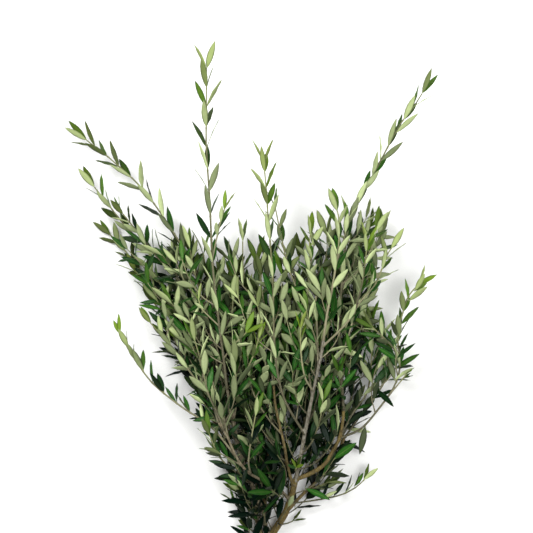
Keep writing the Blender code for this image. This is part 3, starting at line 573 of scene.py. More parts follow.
def level_side(heading: np.ndarray) -> np.ndarray:
    """A direction across a stem: level, or across the branch where the stem stands up.

    Args:
        heading: the stem's unit direction.

    Returns:
        The unit direction across it.
    """
    if abs(heading[2]) > UPRIGHT:
        return unit(np.cross(heading, (0.0, 1.0, 0.0)))
    return unit(np.cross(heading, (0.0, 0.0, 1.0)))


def lay(cap: bmesh.types.BMFace, ring: np.ndarray) -> None:
    """Moves the corners of a face to a ring of millimetre points."""
    for vert, point in zip(cap.verts, ring):
        vert.co = point * MM


def swept(rings: list[np.ndarray]) -> tuple[bmesh.types.BMesh, bmesh.types.BMFace, bmesh.types.BMFace]:
    """Extrudes a closed solid through rings of points.

    Args:
        rings: equally many millimetre points in each ring.

    Returns:
        The mesh under construction, and its first and last cap.
    """
    build = bmesh.new()
    bmesh.ops.create_circle(build, cap_ends=True, segments=len(rings[0]), radius=1.0)
    build.faces.ensure_lookup_table()
    first = cap = build.faces[0]
    lay(cap, rings[0])
    for ring in rings[1:]:
        behind = cap
        extruded = bmesh.ops.extrude_face_region(build, geom=[behind])["geom"]
        cap = next(piece for piece in extruded if isinstance(piece, bmesh.types.BMFace))
        lay(cap, ring)
        if behind is not first:
            bmesh.ops.delete(build, geom=[behind], context="FACES_ONLY")
    return build, first, cap


def pointed(build: bmesh.types.BMesh, cap: bmesh.types.BMFace, point: np.ndarray) -> None:
    """Draws a cap out to a millimetre point."""
    made = bmesh.ops.poke(build, faces=[cap])
    made["verts"][0].co = point * MM


def outward(build: bmesh.types.BMesh) -> bmesh.types.BMesh:
    """The same mesh with its faces pointing out."""
    bmesh.ops.recalc_face_normals(build, faces=build.faces)
    return build


def spokes(side: np.ndarray, heading: np.ndarray, angles: np.ndarray) -> np.ndarray:
    """Unit directions across a heading, a row for each angle from the side upwards."""
    return np.outer(np.cos(angles), side) + np.outer(np.sin(angles), np.cross(side, heading))


def tube(route: Route, stations: np.ndarray, sides: int, swell: float = 1.0,
         start_heading: np.ndarray | None = None, swelling: np.ndarray | None = None,
         grow: float = 0.0) -> bmesh.types.BMesh:
    """A closed tube along a route, nowhere below the surface that the branch lies on.

    Args:
        route: the stem's centreline and radii.
        stations: the distances along it that have a ring.
        sides: how many sides the tube has.
        swell: how many times the stem's radius the tube's is.
        start_heading: the direction that the first ring faces, where it isn't the route's own.
        swelling: how many times thicker each ring is made, such as at the leaf joints.
        grow: how many millimetres are added to every radius.

    Returns:
        The mesh under construction.
    """
    rings = []
    side = None
    angles = 2 * math.pi * (np.arange(sides) + 0.5) / sides - math.pi / 2
    for number, distance in enumerate(stations):
        heading = route.heading(distance)
        if number == 0 and start_heading is not None:
            heading = start_heading
        side = level_side(heading) if side is None else unit(side - heading * (side @ heading))
        radius = route.radius(distance) * swell * (1.0 if swelling is None else swelling[number])
        ring = route.at(distance) + spokes(side, heading, angles) * (radius + grow)
        ring[:, 2] = np.maximum(ring[:, 2], 0.0)
        rings.append(ring)
    return outward(swept(rings)[0])


class LeafSide(Enum):
    """The materials of a leafy piece, by their place in its list."""

    UPPER = 0
    UNDERSIDE = 1
    TWIG = 2


@dataclass
class LeafForm:
    """The finer shape that every leaf takes: a stalk, and a lance-shaped blade folded along its midrib.

    It is drawn once as a flat, closed pillow of 56 faces. A corner's x is its place across the blade from
    -1 to 1, its y the share of the leaf's length, and its z which side it is on. The stations, widths and
    ends are shares of the leaf's length, and the other sizes are millimetres.
    """

    stations: tuple[float, ...] = (0.0, 0.07, 0.2, 0.38, 0.56, 0.74, 0.9, 1.0)
    columns: int = 4
    rim_place: float = 0.99
    rib_place: float = 0.1
    merge_distance: float = 1e-4
    width_share: float = 0.235
    fullness: float = 0.8
    widest_early: float = 0.93
    stalk_share: float = 0.05
    stalk_end: float = 0.1
    stalk_half_width: float = 0.62
    tip_half_width: float = 0.12
    thickness: float = 0.6
    midrib: float = 0.32
    groove: float = 0.12
    rolled_margin: float = 0.04
    waves: float = 2.5
    wave_height: float = 0.45
    wavy_half_width: float = 1.5
    mesh: bpy.types.Mesh = field(init=False)
    grid: np.ndarray = field(init=False)

    def __post_init__(self) -> None:
        """Draws the pillow, marks its two sides and keeps its corners' places."""
        build = bmesh.new()
        rows = len(self.stations) - 1
        bmesh.ops.create_grid(build, x_segments=self.columns, y_segments=rows, size=1.0)
        for vert in build.verts:
            row = round((vert.co.y + 1.0) / 2.0 * rows)
            rim = abs(vert.co.x) > self.rim_place or row in (0, rows)
            vert.co = Vector((vert.co.x, self.stations[row], 0.0 if rim else 1.0))
        copied = bmesh.ops.duplicate(build, geom=build.verts[:] + build.edges[:] + build.faces[:])["geom"]
        under = [piece for piece in copied if isinstance(piece, bmesh.types.BMFace)]
        for vert in {vert for face in under for vert in face.verts}:
            vert.co.z = -vert.co.z
        bmesh.ops.reverse_faces(build, faces=under)
        for face in under:
            face.material_index = LeafSide.UNDERSIDE.value
        bmesh.ops.remove_doubles(build, verts=build.verts, dist=self.merge_distance)
        across = build.loops.layers.uv.new("leaf_map")
        for face in build.faces:
            face.smooth = True
            for loop in face.loops:
                loop[across].uv = (0.5 + loop.vert.co.x / 2.0, loop.vert.co.y)
        self.mesh = bpy.data.meshes.new("leaf_form")
        build.to_mesh(self.mesh)
        build.free()
        self.grid = np.array([vert.co for vert in self.mesh.vertices], float)

    def half_width(self, share: np.ndarray, length: float) -> np.ndarray:
        """Half the blade's width, never less than its stalk's.

        Args:
            share: the share of the leaf's length that each corner is at.
            length: that length in millimetres.

        Returns:
            A half width for each corner, in millimetres.
        """
        blade = np.clip((share - self.stalk_share) / (1.0 - self.stalk_share), 0.0, 1.0)
        arch = np.clip(np.sin(math.pi * blade ** self.widest_early), 0.0, 1.0)
        wide = 0.5 * self.width_share * length * arch ** self.fullness
        least = (self.stalk_half_width, self.stalk_half_width, self.tip_half_width)
        return np.maximum(wide, np.interp(share, (0.0, self.stalk_end, 1.0), least))

    def spread(self, leaf: "Leaf") -> np.ndarray:
        """Where the form's corners lie on a leaf.

        Args:
            leaf: the leaf's root, directions, size and bend.

        Returns:
            A row for each corner, in millimetres.
        """
        place, share, side = self.grid.T
        across = np.cross(leaf.upper, leaf.ahead)
        half = self.half_width(share, leaf.length) * leaf.breadth
        curve = share ** 2 * leaf.length
        middle = (leaf.root + np.outer(share * leaf.length, leaf.ahead)
                  - np.outer(leaf.bend * curve, leaf.upper) + np.outer(leaf.sickle * curve, across))
        lift = FOLD * half * np.abs(place) - self.rolled_margin * half * place ** 4
        phase = leaf.root.sum()
        wave = np.sin(2.0 * math.pi * self.waves * share + phase)
        lift += self.wave_height * place * wave * (half > self.wavy_half_width)
        on_rib = np.abs(place) < self.rib_place
        depth = 0.5 * self.thickness * np.where(side < 0, -1.0, 1.0) * np.abs(side)
        depth = np.where(on_rib & (side < 0), depth - self.midrib * (1.0 - share), depth)
        depth = np.where(on_rib & (side > 0) & (share > self.stalk_end), depth - self.groove, depth)
        points = middle + np.outer(place * half, across) + np.outer(lift + depth, leaf.upper)
        for station in self.stations:
            # A corner keeps its place as a 32-bit number, which the station is rounded to as well.
            row = share == np.float64(np.float32(station))
            points[row, 2] += max(0.0, LOWEST_LEAF - points[row, 2].min())
        return points


@dataclass
class Leaf:
    """One leaf: its root on the stem, its directions, and its size and bend."""

    root: np.ndarray
    ahead: np.ndarray
    upper: np.ndarray
    length: float
    bend: float
    sickle: float
    tone: float = 0.5
    youth: float = 0.0
    breadth: float = 1.0

    def half_width(self, share: float) -> float:
        """Half the solid blade's width at this share of its length."""
        full = 0.5 * LEAF_WIDTH_SHARE * self.length
        return full * math.sin(math.pi * share ** WIDEST_EARLY) ** FULLNESS

    def centre(self, share: float) -> np.ndarray:
        """The midrib's point at this share, bent down and to one side more towards the tip."""
        across = np.cross(self.upper, self.ahead)
        return (self.root + self.ahead * share * self.length
                - self.upper * self.bend * share ** 2 * self.length
                + across * self.sickle * share ** 2 * self.length)

    def section(self, share: float, swell: float) -> np.ndarray:
        """The solid blade's two edges and its keel, or with a swell four points that clear them.

        Args:
            share: the share of the leaf's length that they are at.
            swell: the clearance round them in millimetres, or 0.

        Returns:
            A row for each point, none below the surface that the branch lies on.
        """
        across = np.cross(self.upper, self.ahead)
        middle = self.centre(share)
        half = self.half_width(share) + EDGE_CLEARANCE * swell
        lift = self.upper * FOLD * half
        depth = KEEL_DEPTH * (1.0 - KEEL_TAPER * share) + swell
        ring = [middle + across * half + lift, middle - across * half + lift, middle - self.upper * depth]
        if swell:
            ring.insert(1, middle + self.upper * (FOLD * half + swell))
        ring = np.array(ring)
        ring[:, 2] += max(0.0, swell - ring[:, 2].min())
        return ring

    def solid(self, swell: float = 0.0, first: float = 0.0) -> bmesh.types.BMesh:
        """The solid blade, up to its tip point.

        Args:
            swell: the clearance round it in millimetres, or 0.
            first: the share of its length that it starts at, or 0 to start at its root point.

        Returns:
            The mesh under construction.
        """
        shares = (first, *LEAF_RINGS) if first else LEAF_RINGS
        build, foot, end = swept([self.section(share, swell) for share in shares])
        tip = self.centre(1.0) + self.ahead * swell
        tip[2] = max(tip[2], 0.0)
        pointed(build, end, tip)
        if not first:
            pointed(build, foot, self.root)
        bmesh.ops.triangulate(build, faces=build.faces)
        return outward(build)


@dataclass
class Thicket:
    """Everything already in place, which the next leaf or twig has to clear."""

    room: int = 8000
    trees: list[BVHTree] = field(default_factory=list)
    owners: list[str] = field(default_factory=list)
    boxes: np.ndarray = field(init=False)

    def __post_init__(self) -> None:
        """Makes room for the box of each shape."""
        self.boxes = np.empty((self.room, 6))

    def add(self, build: bmesh.types.BMesh, owner: str) -> None:
        """Puts a solid in place.

        Args:
            build: the solid, which is freed.
            owner: the name of the stem that it belongs to.
        """
        corners = np.array([vert.co[:] for vert in build.verts])
        self.boxes[len(self.trees)] = np.concatenate([corners.min(axis=0), corners.max(axis=0)])
        self.trees.append(BVHTree.FromBMesh(build))
        self.owners.append(owner)
        build.free()

    def blocks(self, build: bmesh.types.BMesh, owner: str, own: bool) -> bool:
        """Whether a shape meets something in place.

        Args:
            build: the shape, which is freed.
            owner: the name of the stem that it belongs to.
            own: True to try it against that stem's shapes, False against all the others.

        Returns:
            True where it meets one of them.
        """
        corners = np.array([vert.co[:] for vert in build.verts])
        tree = BVHTree.FromBMesh(build)
        build.free()
        boxes = self.boxes[:len(self.trees)]
        starts_before = (boxes[:, :3] < corners.max(axis=0)).all(axis=1)
        near = starts_before & (boxes[:, 3:] > corners.min(axis=0)).all(axis=1)
        return any(tree.overlap(self.trees[n]) for n in np.flatnonzero(near)
                   if (self.owners[n] == owner) == own)


def leaf_nodes(shoot: Shoot, route: Route) -> list[float]:
    """Where a shoot's leaf pairs are, closer together towards its tip.

    Args:
        shoot: the shoot.
        route: its centreline.

    Returns:
        Their distances along it, in millimetres.
    """
    distance = route.start + max(FIRST_LEAF, shoot.bare * route.length)
    nodes = []
    while distance < route.length - LAST_LEAF_SHARE * shoot.spacing:
        nodes.append(distance)
        distance += shoot.spacing * (1.0 - CROWDING * (distance / route.length) ** 2)
    return nodes


@dataclass(frozen=True)
class Wish:
    """A leaf that a shoot should have: its name, distance along, direction round, opening and length."""

    label: str
    distance: float
    azimuth_deg: float
    opening_deg: float
    size: float
    in_solids: bool


def leaf_wishes(shoot: Shoot, route: Route) -> list[Wish]:
    """Every leaf that a shoot should have, with those that its solid has marked.

    Args:
        shoot: the shoot.
        route: its centreline.

    Returns:
        A wish for each leaf, from the foot to the last pair.
    """
    wishes = []
    nodes = leaf_nodes(shoot, route)
    for number, distance in enumerate(nodes):
        size = shoot.leaf * (1.0 - END_SHRINK * abs(distance / route.length - LARGEST_AT))
        for pair_side in (0, 1):
            in_solids = shoot.full or pair_side == number // 2 % 2
            azimuth = shoot.turn_deg + QUARTER_TURN_DEG * number + HALF_TURN_DEG * pair_side
            wishes.append(Wish(f"{number}-{pair_side}", distance, azimuth, shoot.opening_deg, size,
                               in_solids))
    crossed = shoot.turn_deg + QUARTER_TURN_DEG * len(nodes)
    tip = route.length - TIP_INSET
    for pair_side in (0, 1):
        wishes.append(Wish(f"tip-{pair_side}", tip, crossed + HALF_TURN_DEG * pair_side, TIP_OPENING_DEG,
                           TIP_SIZE * shoot.leaf, True))
    return wishes


def painted_light_share(place: np.ndarray) -> float:
    """The share of painted light at a leaf's or a twig's place; the rest is painted shade.

    Args:
        place: the place in millimetres.

    Returns:
        The share of painted light, from about the least painted light, squared, deep inside, to 1.
    """
    # Painted shade near the cut end and deep inside; painted light at the tips and on the branch's right
    # side.
    along = float(np.interp(place[1], PAINTED_SHADE_ALONG, (LEAST_PAINTED_LIGHT, 1.0)))
    up = float(np.interp(place[2], PAINTED_SHADE_DEPTH, (LEAST_PAINTED_LIGHT, 1.0)))
    beyond = float(np.interp(place[1], PAINTED_TIP_LIGHT_ALONG, (0.0, PAINTED_TIP_LIGHT)))
    aside = float(np.interp(place[0], PAINTED_LIT_SIDE, (0.0, PAINTED_SIDE_LIGHT)))
    return max(along * up, beyond, along * aside)


def leaf_tone(drawn: float, light: float) -> float:
    """A leaf's tone, from 0 for dark to 1 for pale.

    Args:
        drawn: the leaf's random number, from 0 to 1.
        light: the share of painted light at its place.

    Returns:
        The tone, which is low for most leaves in deep painted shade.
    """
    usual = drawn ** (TONE_POWER / light ** PAINTED_SHADE_POWER)
    return max(usual, PALEST_IN_PAINTED_SHADE * (drawn - DARK_SHARE) / (1.0 - DARK_SHARE))


@dataclass
class GrownShoot:
    """A shoot with its route, its leaves, and how yellow-green its tip is."""

    shoot: Shoot
    route: Route
    freshness: float
    underside_share: float = UNDERSIDE_SHARE
    leaves: list[Leaf] = field(default_factory=list)

    def chord_point(self, stations: np.ndarray, distance: float) -> np.ndarray:
        """The point on the solid twig's straight-sided centreline at this distance."""
        return np.array([np.interp(distance, stations, [self.route.at(s)[k] for s in stations])
                         for k in range(3)])

    def leaf_towards(self, root: np.ndarray, distance: float, azimuth_deg: float, opening_deg: float,
                     twists_deg: Range, length: float, draw: random.Random) -> Leaf:
        """A leaf that leaves the stem in one direction, turned a little towards the light.

        Args:
            root: the point on the stem that it grows from.
            distance: how far along the stem that is.
            azimuth_deg: the direction round the stem, from its level side.
            opening_deg: the angle between the leaf and the stem.
            twists_deg: how far the blade is twisted on its stalk, and how far more where it is on edge.
            length: the leaf's length in millimetres.
            draw: the seeded numbers for its bend.

        Returns:
            The leaf.
        """
        heading = self.route.heading(distance)
        side, over = self.route.frame(distance)
        azimuth, opening = math.radians(azimuth_deg), math.radians(opening_deg)
        outwards = side * math.cos(azimuth) + over * math.sin(azimuth)
        ahead = heading * math.cos(opening) + outwards * math.sin(opening)
        ahead = unit(ahead + np.array([0.0, self.shoot.seek, 0.0]) * math.sin(opening))
        upper = unit(heading - ahead * (heading @ ahead))
        on_edge = np.cross(ahead, upper)[2]
        any_twist, edge_twist = twists_deg
        twist = math.radians(any_twist + edge_twist * on_edge * abs(on_edge))
        upper = unit(upper * math.cos(twist) + np.cross(ahead, upper) * math.sin(twist))
        start = root - outwards * ROOT_BEHIND_AXIS * self.route.radius(distance)
        return Leaf(start, ahead, upper, length, draw.uniform(*BEND_RANGE), draw.uniform(-SICKLE, SICKLE))

    def grow_leaf(self, wish: Wish, thicket: Thicket) -> None:
        """Grows a leaf where it is wished for, or turned aside until it is clear of the rest.

        Args:
            wish: the leaf's place and size.
            thicket: what it has to clear, to which it is added.
        """
        shoot = self.shoot
        draw = random.Random(f"{SEED} {shoot.name} {wish.label}")
        root = self.chord_point(self.route.twig_stations(), wish.distance)
        azimuth = wish.azimuth_deg + draw.uniform(-AZIMUTH_JITTER_DEG, AZIMUTH_JITTER_DEG)
        opening = wish.opening_deg + draw.uniform(-OPENING_JITTER_DEG, OPENING_JITTER_DEG)
        twist = draw.uniform(-TWIST_JITTER_DEG, TWIST_JITTER_DEG)
        size = wish.size * draw.uniform(1.0 - SIZE_JITTER, 1.0 + SIZE_JITTER)
        curve_seed = draw.random()
        edge_twist = draw.uniform(*EDGE_TWIST_DEG) * (-1.0 if draw.random() < self.underside_share else 1.0)
        for turn, widen, shorten in LEAF_TRIES:
            leaf = self.leaf_towards(root, wish.distance, azimuth + turn, opening + widen,
                                     (twist, edge_twist), size * shorten, random.Random(curve_seed))
            if thicket.blocks(leaf.solid(LEAF_CLEARANCE), shoot.name, own=False):
                continue
            if thicket.blocks(leaf.solid(LEAF_CLEARANCE, OWN_TEST_FROM), shoot.name, own=True):
                continue
            thicket.add(leaf.solid(), shoot.name)
            # A leaf's tone is drawn at random and darkened by painted shade near the cut end and deep inside.
            leaf.tone = leaf_tone(draw.random(), painted_light_share(root))
            slimness = LONG_SHOOT_BREADTH if shoot.name in LONG_SHOOTS else 1.0
            leaf.breadth = draw.uniform(*BREADTHS) * slimness
            along = wish.distance / self.route.length
            leaf.youth = self.freshness * max(0.0, (along - YOUNG_FROM) / (1.0 - YOUNG_FROM)) ** 2
            self.leaves.append(leaf)
            return


def inside(outline_px: tuple[Range, ...], point: np.ndarray) -> bool:
    """Whether a place, seen from above, is inside an outline.

    Args:
        outline_px: the outline's corners, in the photograph's pixels.
        point: the place in millimetres.

    Returns:
        True inside it.
    """
    x, y = ZERO_PX[0] + point[0] / MM_PER_PIXEL, ZERO_PX[1] - point[1] / MM_PER_PIXEL
    within = False
    for (x0, y0), (x1, y1) in zip(outline_px, outline_px[1:] + outline_px[:1]):
        if (y0 > y) != (y1 > y) and x < x0 + (y - y0) * (x1 - x0) / (y1 - y0):
            within = not within
    return within


@dataclass(frozen=True)
class SideTwigs:
    """How the added side twigs grow: their spacing along a stem, size and slenderness, in millimetres."""

    spacing: float = 22.0
    limb_spacing: float = 10.0
    lengths: Range = (55.0, 112.0)
    azimuths_deg: Range = (-40.0, 40.0)
    openings_deg: tuple[float, ...] = (50.0, 30.0, 14.0)
    shares: tuple[float, ...] = (0.3, 0.35, 0.35)
    radii: Range = (0.95, 0.6)
    leaf_lengths: Range = (34.0, 50.0)
    leaf_spacings: Range = (18.0, 25.0)
    leaf_openings_deg: Range = (34.0, 66.0)
    leaf_reach: float = 0.6
    seeks: Range = (-0.1, 0.4)
    bare: float = 0.16
    free_ends: float = 16.0
    tries: tuple[int, ...] = (0, 65, -65, 125, -125, 180)
    clearance: float = 0.6
    lowest: float = 5.0
    highest: float = 118.0
    freshness: Range = (0.0, 0.5)
    underside_shares: Range = (0.3, 0.6)

    def path(self, route: Route, distance: float, azimuth_deg: float, length: float
             ) -> tuple[list[np.ndarray], np.ndarray]:
        """The way that a side twig takes, bending towards its stem's own direction.

        Args:
            route: its stem's centreline.
            distance: how far along the stem it starts.
            azimuth_deg: its direction round the stem, from the level side.
            length: how long it is.

        Returns:
            The points that it passes, and the direction of its last stretch.
        """
        heading = route.heading(distance)
        side, over = route.frame(distance)
        towards = math.radians(azimuth_deg)
        outwards = side * math.cos(towards) + over * math.sin(towards)
        through = [route.at(distance)]
        for opening_deg, share in zip(self.openings_deg, self.shares):
            opening = math.radians(opening_deg)
            step = heading * math.cos(opening) + outwards * math.sin(opening)
            through.append(through[-1] + step * share * length)
        return through, step

    def fits(self, through: list[np.ndarray], last_leaf: np.ndarray) -> bool:
        """Whether a side twig keeps to its heights and inside the photograph's outlines.

        Args:
            through: the points that it passes.
            last_leaf: where its last leaf ends.

        Returns:
            True where it does.
        """
        heights = [point[2] for point in through]
        if min(heights) < self.lowest or max(heights) > self.highest:
            return False
        return all(inside(HEAD_OUTLINE_PX, point) or inside(RIGHT_CLUMP_PX, point)
                   for point in (*through[2:], last_leaf))


@dataclass
class Branch:
    """The grown branch: every stem's route, the solids' leaves, and the leaves and twigs added to them.

    The stems that the photograph shows have a curtain over them, which no added leaf may cross.
    """

    stems: tuple[Stem, ...]
    shoots: tuple[Shoot, ...]
    seen_stems: tuple[str, ...] = ("grey_fork", "right_limb", "tall_shoot", "centre_shoot", "right_fork",
                                   "centre_fork")
    curtain_height: float = 150.0
    curtain_side: float = 0.6
    curtain_spacing: float = 8.0
    routes: dict[str, Route] = field(default_factory=dict)
    thicket: Thicket = field(default_factory=Thicket)
    grown: dict[str, GrownShoot] = field(default_factory=dict)
    side_twigs: dict[str, list[GrownShoot]] = field(init=False)

    def __post_init__(self) -> None:
        """Grows the branch."""
        self.side_twigs = {shoot.name: [] for shoot in self.shoots} | {BOUGH: []}
        self.lay_routes()
        self.grow_solid_leaves()
        self.hang_lone_leaves()
        self.grow_other_leaves()
        self.grow_side_twigs(SideTwigs())

    def lay_routes(self) -> None:
        """Lays every stem on its parent and clear of the stems before it."""
        for stem in self.stems + self.shoots:
            through = np.array(stem.through, float)
            if not stem.parent:
                self.routes[stem.name] = Route(through, stem.radii)
                continue
            parent = self.routes[stem.parent]
            foot = parent.nearest(through[0])
            goes_on = foot > parent.length - END_REACH
            through[0] = parent.points[-1] if goes_on else parent.at(foot)
            route = Route(through, stem.radii)
            if isinstance(stem, Shoot):
                route.bend_clear(list(self.routes.values()))
            if goes_on:
                route.start = FACE_GAP
                route.start_heading = parent.heading(parent.length)
            elif isinstance(stem, Shoot):
                route.start = route.foot_length(parent)
            self.routes[stem.name] = route

    def grow_solid_leaves(self) -> None:
        """Puts the solids' stems in place, then grows the leaves that the solids have."""
        for stem in self.stems:
            route = self.routes[stem.name]
            sides = WOOD_SIDES if stem.parent else TRUNK_SIDES
            self.thicket.add(tube(route, route.stations(0.0, WOOD_RING_SPACING), sides), BOUGH)
        owners = {stem.name: BOUGH for stem in self.stems} | {shoot.name: shoot.name for shoot in self.shoots}
        for shoot in self.shoots:
            route = self.routes[shoot.name]
            twig = tube(route, route.twig_stations(), TWIG_SIDES, start_heading=route.start_heading)
            self.thicket.add(twig, shoot.name)
            if route.start > FACE_GAP:
                self.thicket.add(tube(route, (0.0, route.start - FACE_GAP), STUB_SIDES, COLLAR),
                                 owners[shoot.parent])
        for shoot in self.shoots:
            route = self.routes[shoot.name]
            grown = GrownShoot(shoot, route, FRESHNESS.get(shoot.name, USUAL_FRESHNESS))
            self.grown[shoot.name] = grown
            for wish in leaf_wishes(shoot, route):
                if wish.in_solids:
                    grown.grow_leaf(wish, self.thicket)

    def hang_lone_leaves(self) -> None:
        """Hangs the leaves that stand apart, with their undersides up."""
        for name, share, direction, length in LONE_LEAVES:
            route = self.routes[name]
            ahead = unit(np.array(direction))
            under = unit(ahead * ahead[2] - np.array([0.0, 0.0, 1.0]))
            leaf = Leaf(route.at(share * route.length), ahead, under, length, BEND_RANGE[0], SICKLE,
                        tone=LONE_LEAF_TONE)
            self.thicket.add(leaf.solid(), name)
            self.grown[name].leaves.append(leaf)

    def grow_other_leaves(self) -> None:
        """Grows the other leaf of each pair, once nothing can hide the stems that the photograph shows."""
        for name in self.seen_stems:
            self.thicket.add(self.curtain(self.routes[name]), f"over_{name}")
        for grown in self.grown.values():
            for wish in leaf_wishes(grown.shoot, grown.route):
                if not wish.in_solids:
                    grown.grow_leaf(wish, self.thicket)

    def curtain(self, route: Route) -> bmesh.types.BMesh:
        """An upright sheet over a stem, which keeps added leaves from hiding it from above.

        Args:
            route: the stem's centreline.

        Returns:
            The mesh under construction.
        """
        rings = []
        for distance in route.stations(HEADING_REACH, self.curtain_spacing):
            side = route.frame(distance)[0] * (route.radius(distance) + self.curtain_side)
            foot = route.at(distance) + np.array([0.0, 0.0, route.radius(distance) + self.curtain_side])
            top = foot + np.array([0.0, 0.0, self.curtain_height])
            rings.append(np.array([foot - side, foot + side, top + side, top - side]))
        return outward(swept(rings)[0])

    def grow_side_twigs(self, rule: SideTwigs) -> None:
        """Grows leafy side twigs from the shoots and limbs wherever they are clear of the rest.

        Args:
            rule: how side twigs grow.
        """
        for stem in self.shoots + self.stems:
            route = self.routes[stem.name]
            home = stem.name if isinstance(stem, Shoot) else BOUGH
            first = route.start + rule.free_ends
            spacing = rule.limb_spacing if home == BOUGH else rule.spacing
            for number, distance in enumerate(np.arange(first, route.length - rule.free_ends, spacing)):
                draw = random.Random(f"{SEED} side {stem.name} {number}")
                grown = self.side_twig(rule, stem, route, distance, number, draw)
                if grown:
                    self.side_twigs[home].append(grown)

    def side_twig(self, rule: SideTwigs, stem: Stem, route: Route, distance: float, number: int,
                  draw: random.Random) -> GrownShoot | None:
        """A leafy side twig in the first direction round its stem in which it is clear.

        Args:
            rule: how side twigs grow.
            stem: the stem that it grows from.
            route: that stem's centreline.
            distance: how far along the stem it starts.
            number: its number on the stem, which turns it round as leaf pairs turn.
            draw: the seeded numbers for its size.

        Returns:
            The twig with its leaves, or None where there is no room.
        """
        length = draw.uniform(*rule.lengths)
        azimuth = QUARTER_TURN_DEG * number + draw.uniform(*rule.azimuths_deg)
        details = {
            "leaf": draw.uniform(*rule.leaf_lengths), "spacing": draw.uniform(*rule.leaf_spacings),
            "turn_deg": draw.uniform(0.0, QUARTER_TURN_DEG), "full": True, "bare": rule.bare,
            "opening_deg": draw.uniform(*rule.leaf_openings_deg), "seek": draw.uniform(*rule.seeks),
        }
        foot = route.at(distance)
        # The twig's young yellow-green is drawn at random and lessened in painted shade.
        freshness = draw.uniform(*rule.freshness) * painted_light_share(foot)
        underside_share = float(np.interp(foot[1], PAINTED_SHADE_ALONG, rule.underside_shares))
        for turn in rule.tries:
            through, step = rule.path(route, distance, azimuth + turn, length)
            if not rule.fits(through, through[-1] + step * rule.leaf_reach * details["leaf"]):
                continue
            shoot = Shoot(f"{stem.name}_side_{number}", stem.name, tuple(map(tuple, through)), rule.radii,
                          **details)
            twig = Route(through, rule.radii)
            twig.start = twig.foot_length(route)
            trial = tube(twig, twig.twig_stations(), TWIG_SIDES, grow=rule.clearance)
            if self.thicket.blocks(trial, shoot.name, own=False):
                continue
            self.thicket.add(tube(twig, twig.twig_stations(), TWIG_SIDES), shoot.name)
            grown = GrownShoot(shoot, twig, freshness, underside_share)
            for wish in leaf_wishes(shoot, twig):
                grown.grow_leaf(wish, self.thicket)
            return grown
        return None


def linear(colour: str) -> tuple[float, float, float, float]:
    """A linear colour from an sRGB hex value such as "#8a9a6e"."""
    # The sRGB curve is straight up to 0.04045, and a power above it.
    parts = [int(colour[k:k + 2], 16) / 255.0 for k in (1, 3, 5)]
    return (*(c / 12.92 if c <= 0.04045 else ((c + 0.055) / 1.055) ** 2.4 for c in parts), 1.0)


def add_node(tree: bpy.types.NodeTree, kind: str, settings: dict, links: dict | None = None
             ) -> bpy.types.Node:
    """Adds a shader node.

    Args:
        tree: the material's node tree.
        kind: the node's type name.
        settings: values by property name, or by input name or number.
        links: the sockets that its inputs read, by input name or number.

    Returns:
        The node.
    """
    made = tree.nodes.new(kind)
    for name, value in settings.items():
        if isinstance(name, int) or name in made.inputs:
            made.inputs[name].default_value = value
        else:
            setattr(made, name, value)
    for name, source in (links or {}).items():
        tree.links.new(source, made.inputs[name])
    return made


